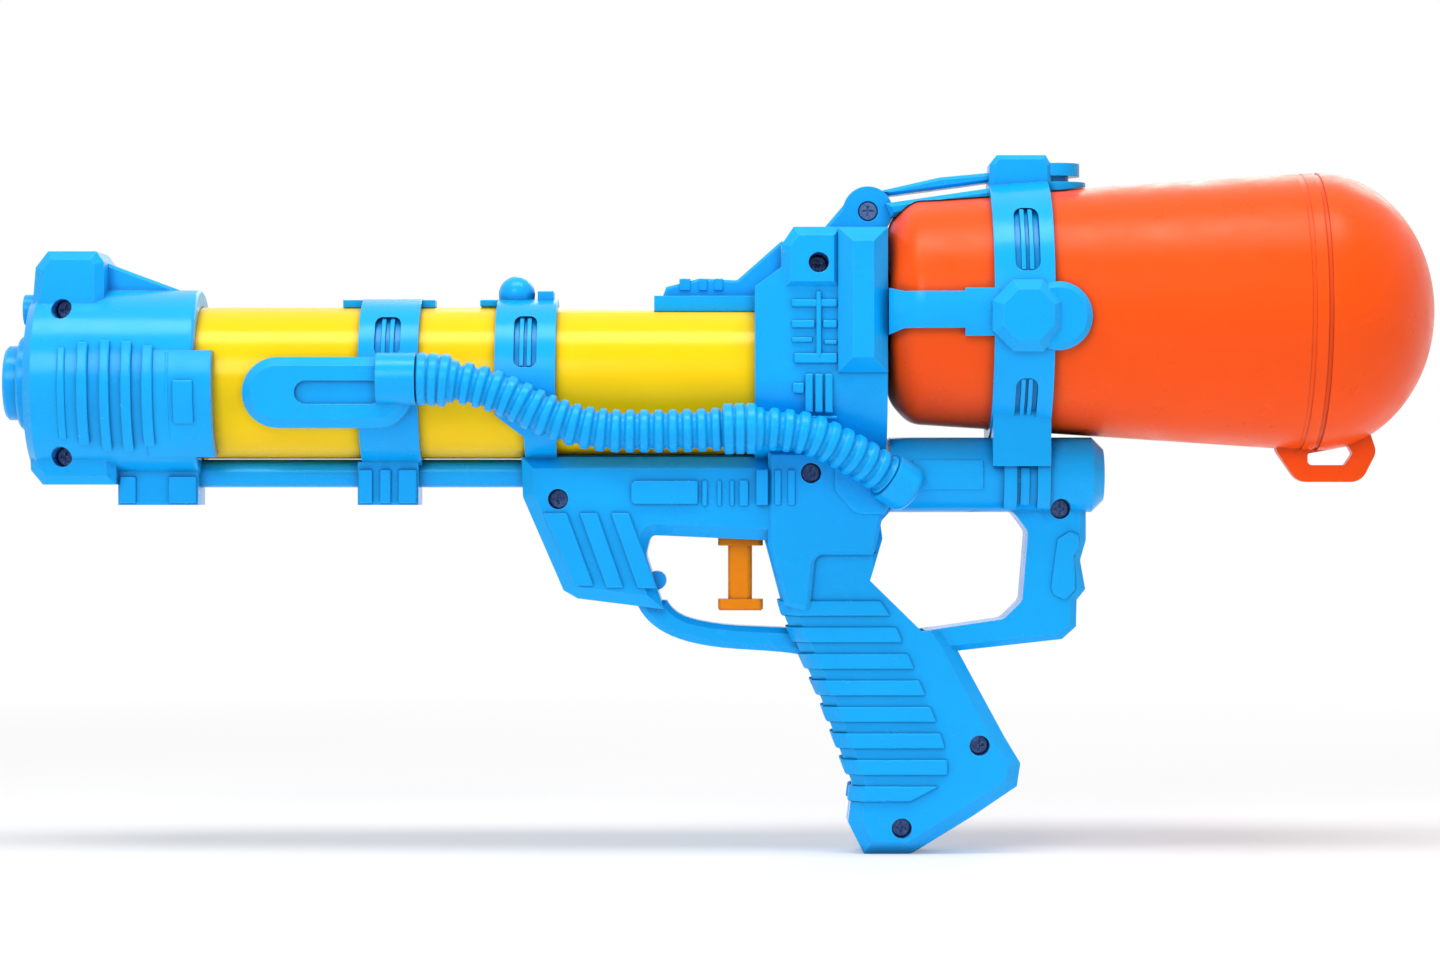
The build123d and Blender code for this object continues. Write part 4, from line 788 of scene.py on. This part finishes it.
# Pad on the rear loop
LOOP_HALF = 12.6
LOOP_PAD_RISE = 0.9
LOOP_PAD = [
    (117.1, 109.5),
    (121.6, 112.2),
    (124.6, 110.8),
    (124.6, 106.4),
    (122.8, 103.4),
    (123.2, 98.6),
    (123.4, 92.0),
    (121.4, 89.8),
    (119.6, 88.2),
    (115.6, 90.2),
    (114.8, 92.6),
]
add_relief("loop_pad", [prism(LOOP_PAD, LOOP_HALF - ROOT, LOOP_HALF + LOOP_PAD_RISE)])


# Floor, world and lamps. The floor's fade runs between two distances from the origin, from one share of plain
# white to another. Each lamp has its place, its size and its power in watts.

FLOOR_HALF = 8.0
FLOOR_WHITE = (0.93, 0.93, 0.935, 1.0)
FADE_DISTANCES = (0.30, 1.1)
FADE_SHARES = (0.25, 1.0)
PURE_WHITE = (1.0, 1.0, 1.0, 1.0)
LIGHT_STRENGTH = 0.42
SEEN_STRENGTH = 1.0
LAMP_TARGET = Vector((0.0, 0.0, 0.12))
LAMPS = {
    "top": ((0.0, -0.35, 1.25), (1.2, 0.4), 11.0),
    "front": ((-0.5, -1.6, 0.9), (0.7, 0.7), 9.0),
    "back": ((0.4, 1.4, 1.0), (1.2, 0.8), 7.0),
}


def make_floor():
    """White floor that keeps the soft shadow near the object and fades to plain white further out."""
    g = Graph("floor")
    base = g.add("ShaderNodeBsdfDiffuse")
    base.inputs["Color"].default_value = FLOOR_WHITE
    white = g.add("ShaderNodeEmission")
    white.inputs["Strength"].default_value = SEEN_STRENGTH
    length = g.add("ShaderNodeVectorMath", operation="LENGTH")
    g.link(g.coords, length.inputs[0])
    far = g.span(length.outputs["Value"], *FADE_DISTANCES, *FADE_SHARES)
    path = g.add("ShaderNodeLightPath")
    seen = g.math("MAXIMUM", path.outputs["Is Camera Ray"], path.outputs["Is Glossy Ray"])
    seen = g.math("MAXIMUM", seen, path.outputs["Is Transmission Ray"])
    mix = g.add("ShaderNodeMixShader")
    g.link(g.math("MULTIPLY", far, seen), mix.inputs[0])
    g.link(base.outputs[0], mix.inputs[1])
    g.link(white.outputs[0], mix.inputs[2])
    g.link(mix.outputs[0], g.output.inputs["Surface"])
    corners = [(-FLOOR_HALF, -FLOOR_HALF, 0), (FLOOR_HALF, -FLOOR_HALF, 0)]
    corners += [(FLOOR_HALF, FLOOR_HALF, 0), (-FLOOR_HALF, FLOOR_HALF, 0)]
    mesh = bpy.data.meshes.new("floor")
    mesh.from_pydata(corners, [], [(0, 1, 2, 3)])
    mesh.materials.append(g.material)
    floor = bpy.data.objects.new("floor", mesh)
    scene.collection.objects.link(floor)


def make_world():
    """White surroundings: full white where they are seen, softer where they light the object."""
    world = bpy.data.worlds.new("surroundings")
    scene.world = world
    world.use_nodes = True
    tree = world.node_tree
    tree.nodes.clear()
    output = tree.nodes.new("ShaderNodeOutputWorld")
    path = tree.nodes.new("ShaderNodeLightPath")
    seen = path.outputs["Is Camera Ray"]
    for name in ("Is Glossy Ray", "Is Transmission Ray"):
        either = tree.nodes.new("ShaderNodeMath")
        either.operation = "MAXIMUM"
        tree.links.new(seen, either.inputs[0])
        tree.links.new(path.outputs[name], either.inputs[1])
        seen = either.outputs[0]
    mix = tree.nodes.new("ShaderNodeMixShader")
    for slot, strength in ((1, LIGHT_STRENGTH), (2, SEEN_STRENGTH)):
        sky = tree.nodes.new("ShaderNodeBackground")
        sky.inputs["Color"].default_value = PURE_WHITE
        sky.inputs["Strength"].default_value = strength
        tree.links.new(sky.outputs[0], mix.inputs[slot])
    tree.links.new(seen, mix.inputs[0])
    tree.links.new(mix.outputs[0], output.inputs["Surface"])


def add_lamp(name, place, size, power):
    """Soft lamp that faces the object."""
    data = bpy.data.lights.new(name, "AREA")
    data.shape = "RECTANGLE"
    data.size, data.size_y = size
    data.energy = power
    lamp = bpy.data.objects.new(name, data)
    lamp.location = place
    lamp.rotation_euler = (LAMP_TARGET - Vector(place)).to_track_quat("-Z", "Y").to_euler()
    scene.collection.objects.link(lamp)


make_floor()
make_world()
for lamp_name, (place, size, power) in LAMPS.items():
    add_lamp(lamp_name, place, size, power)
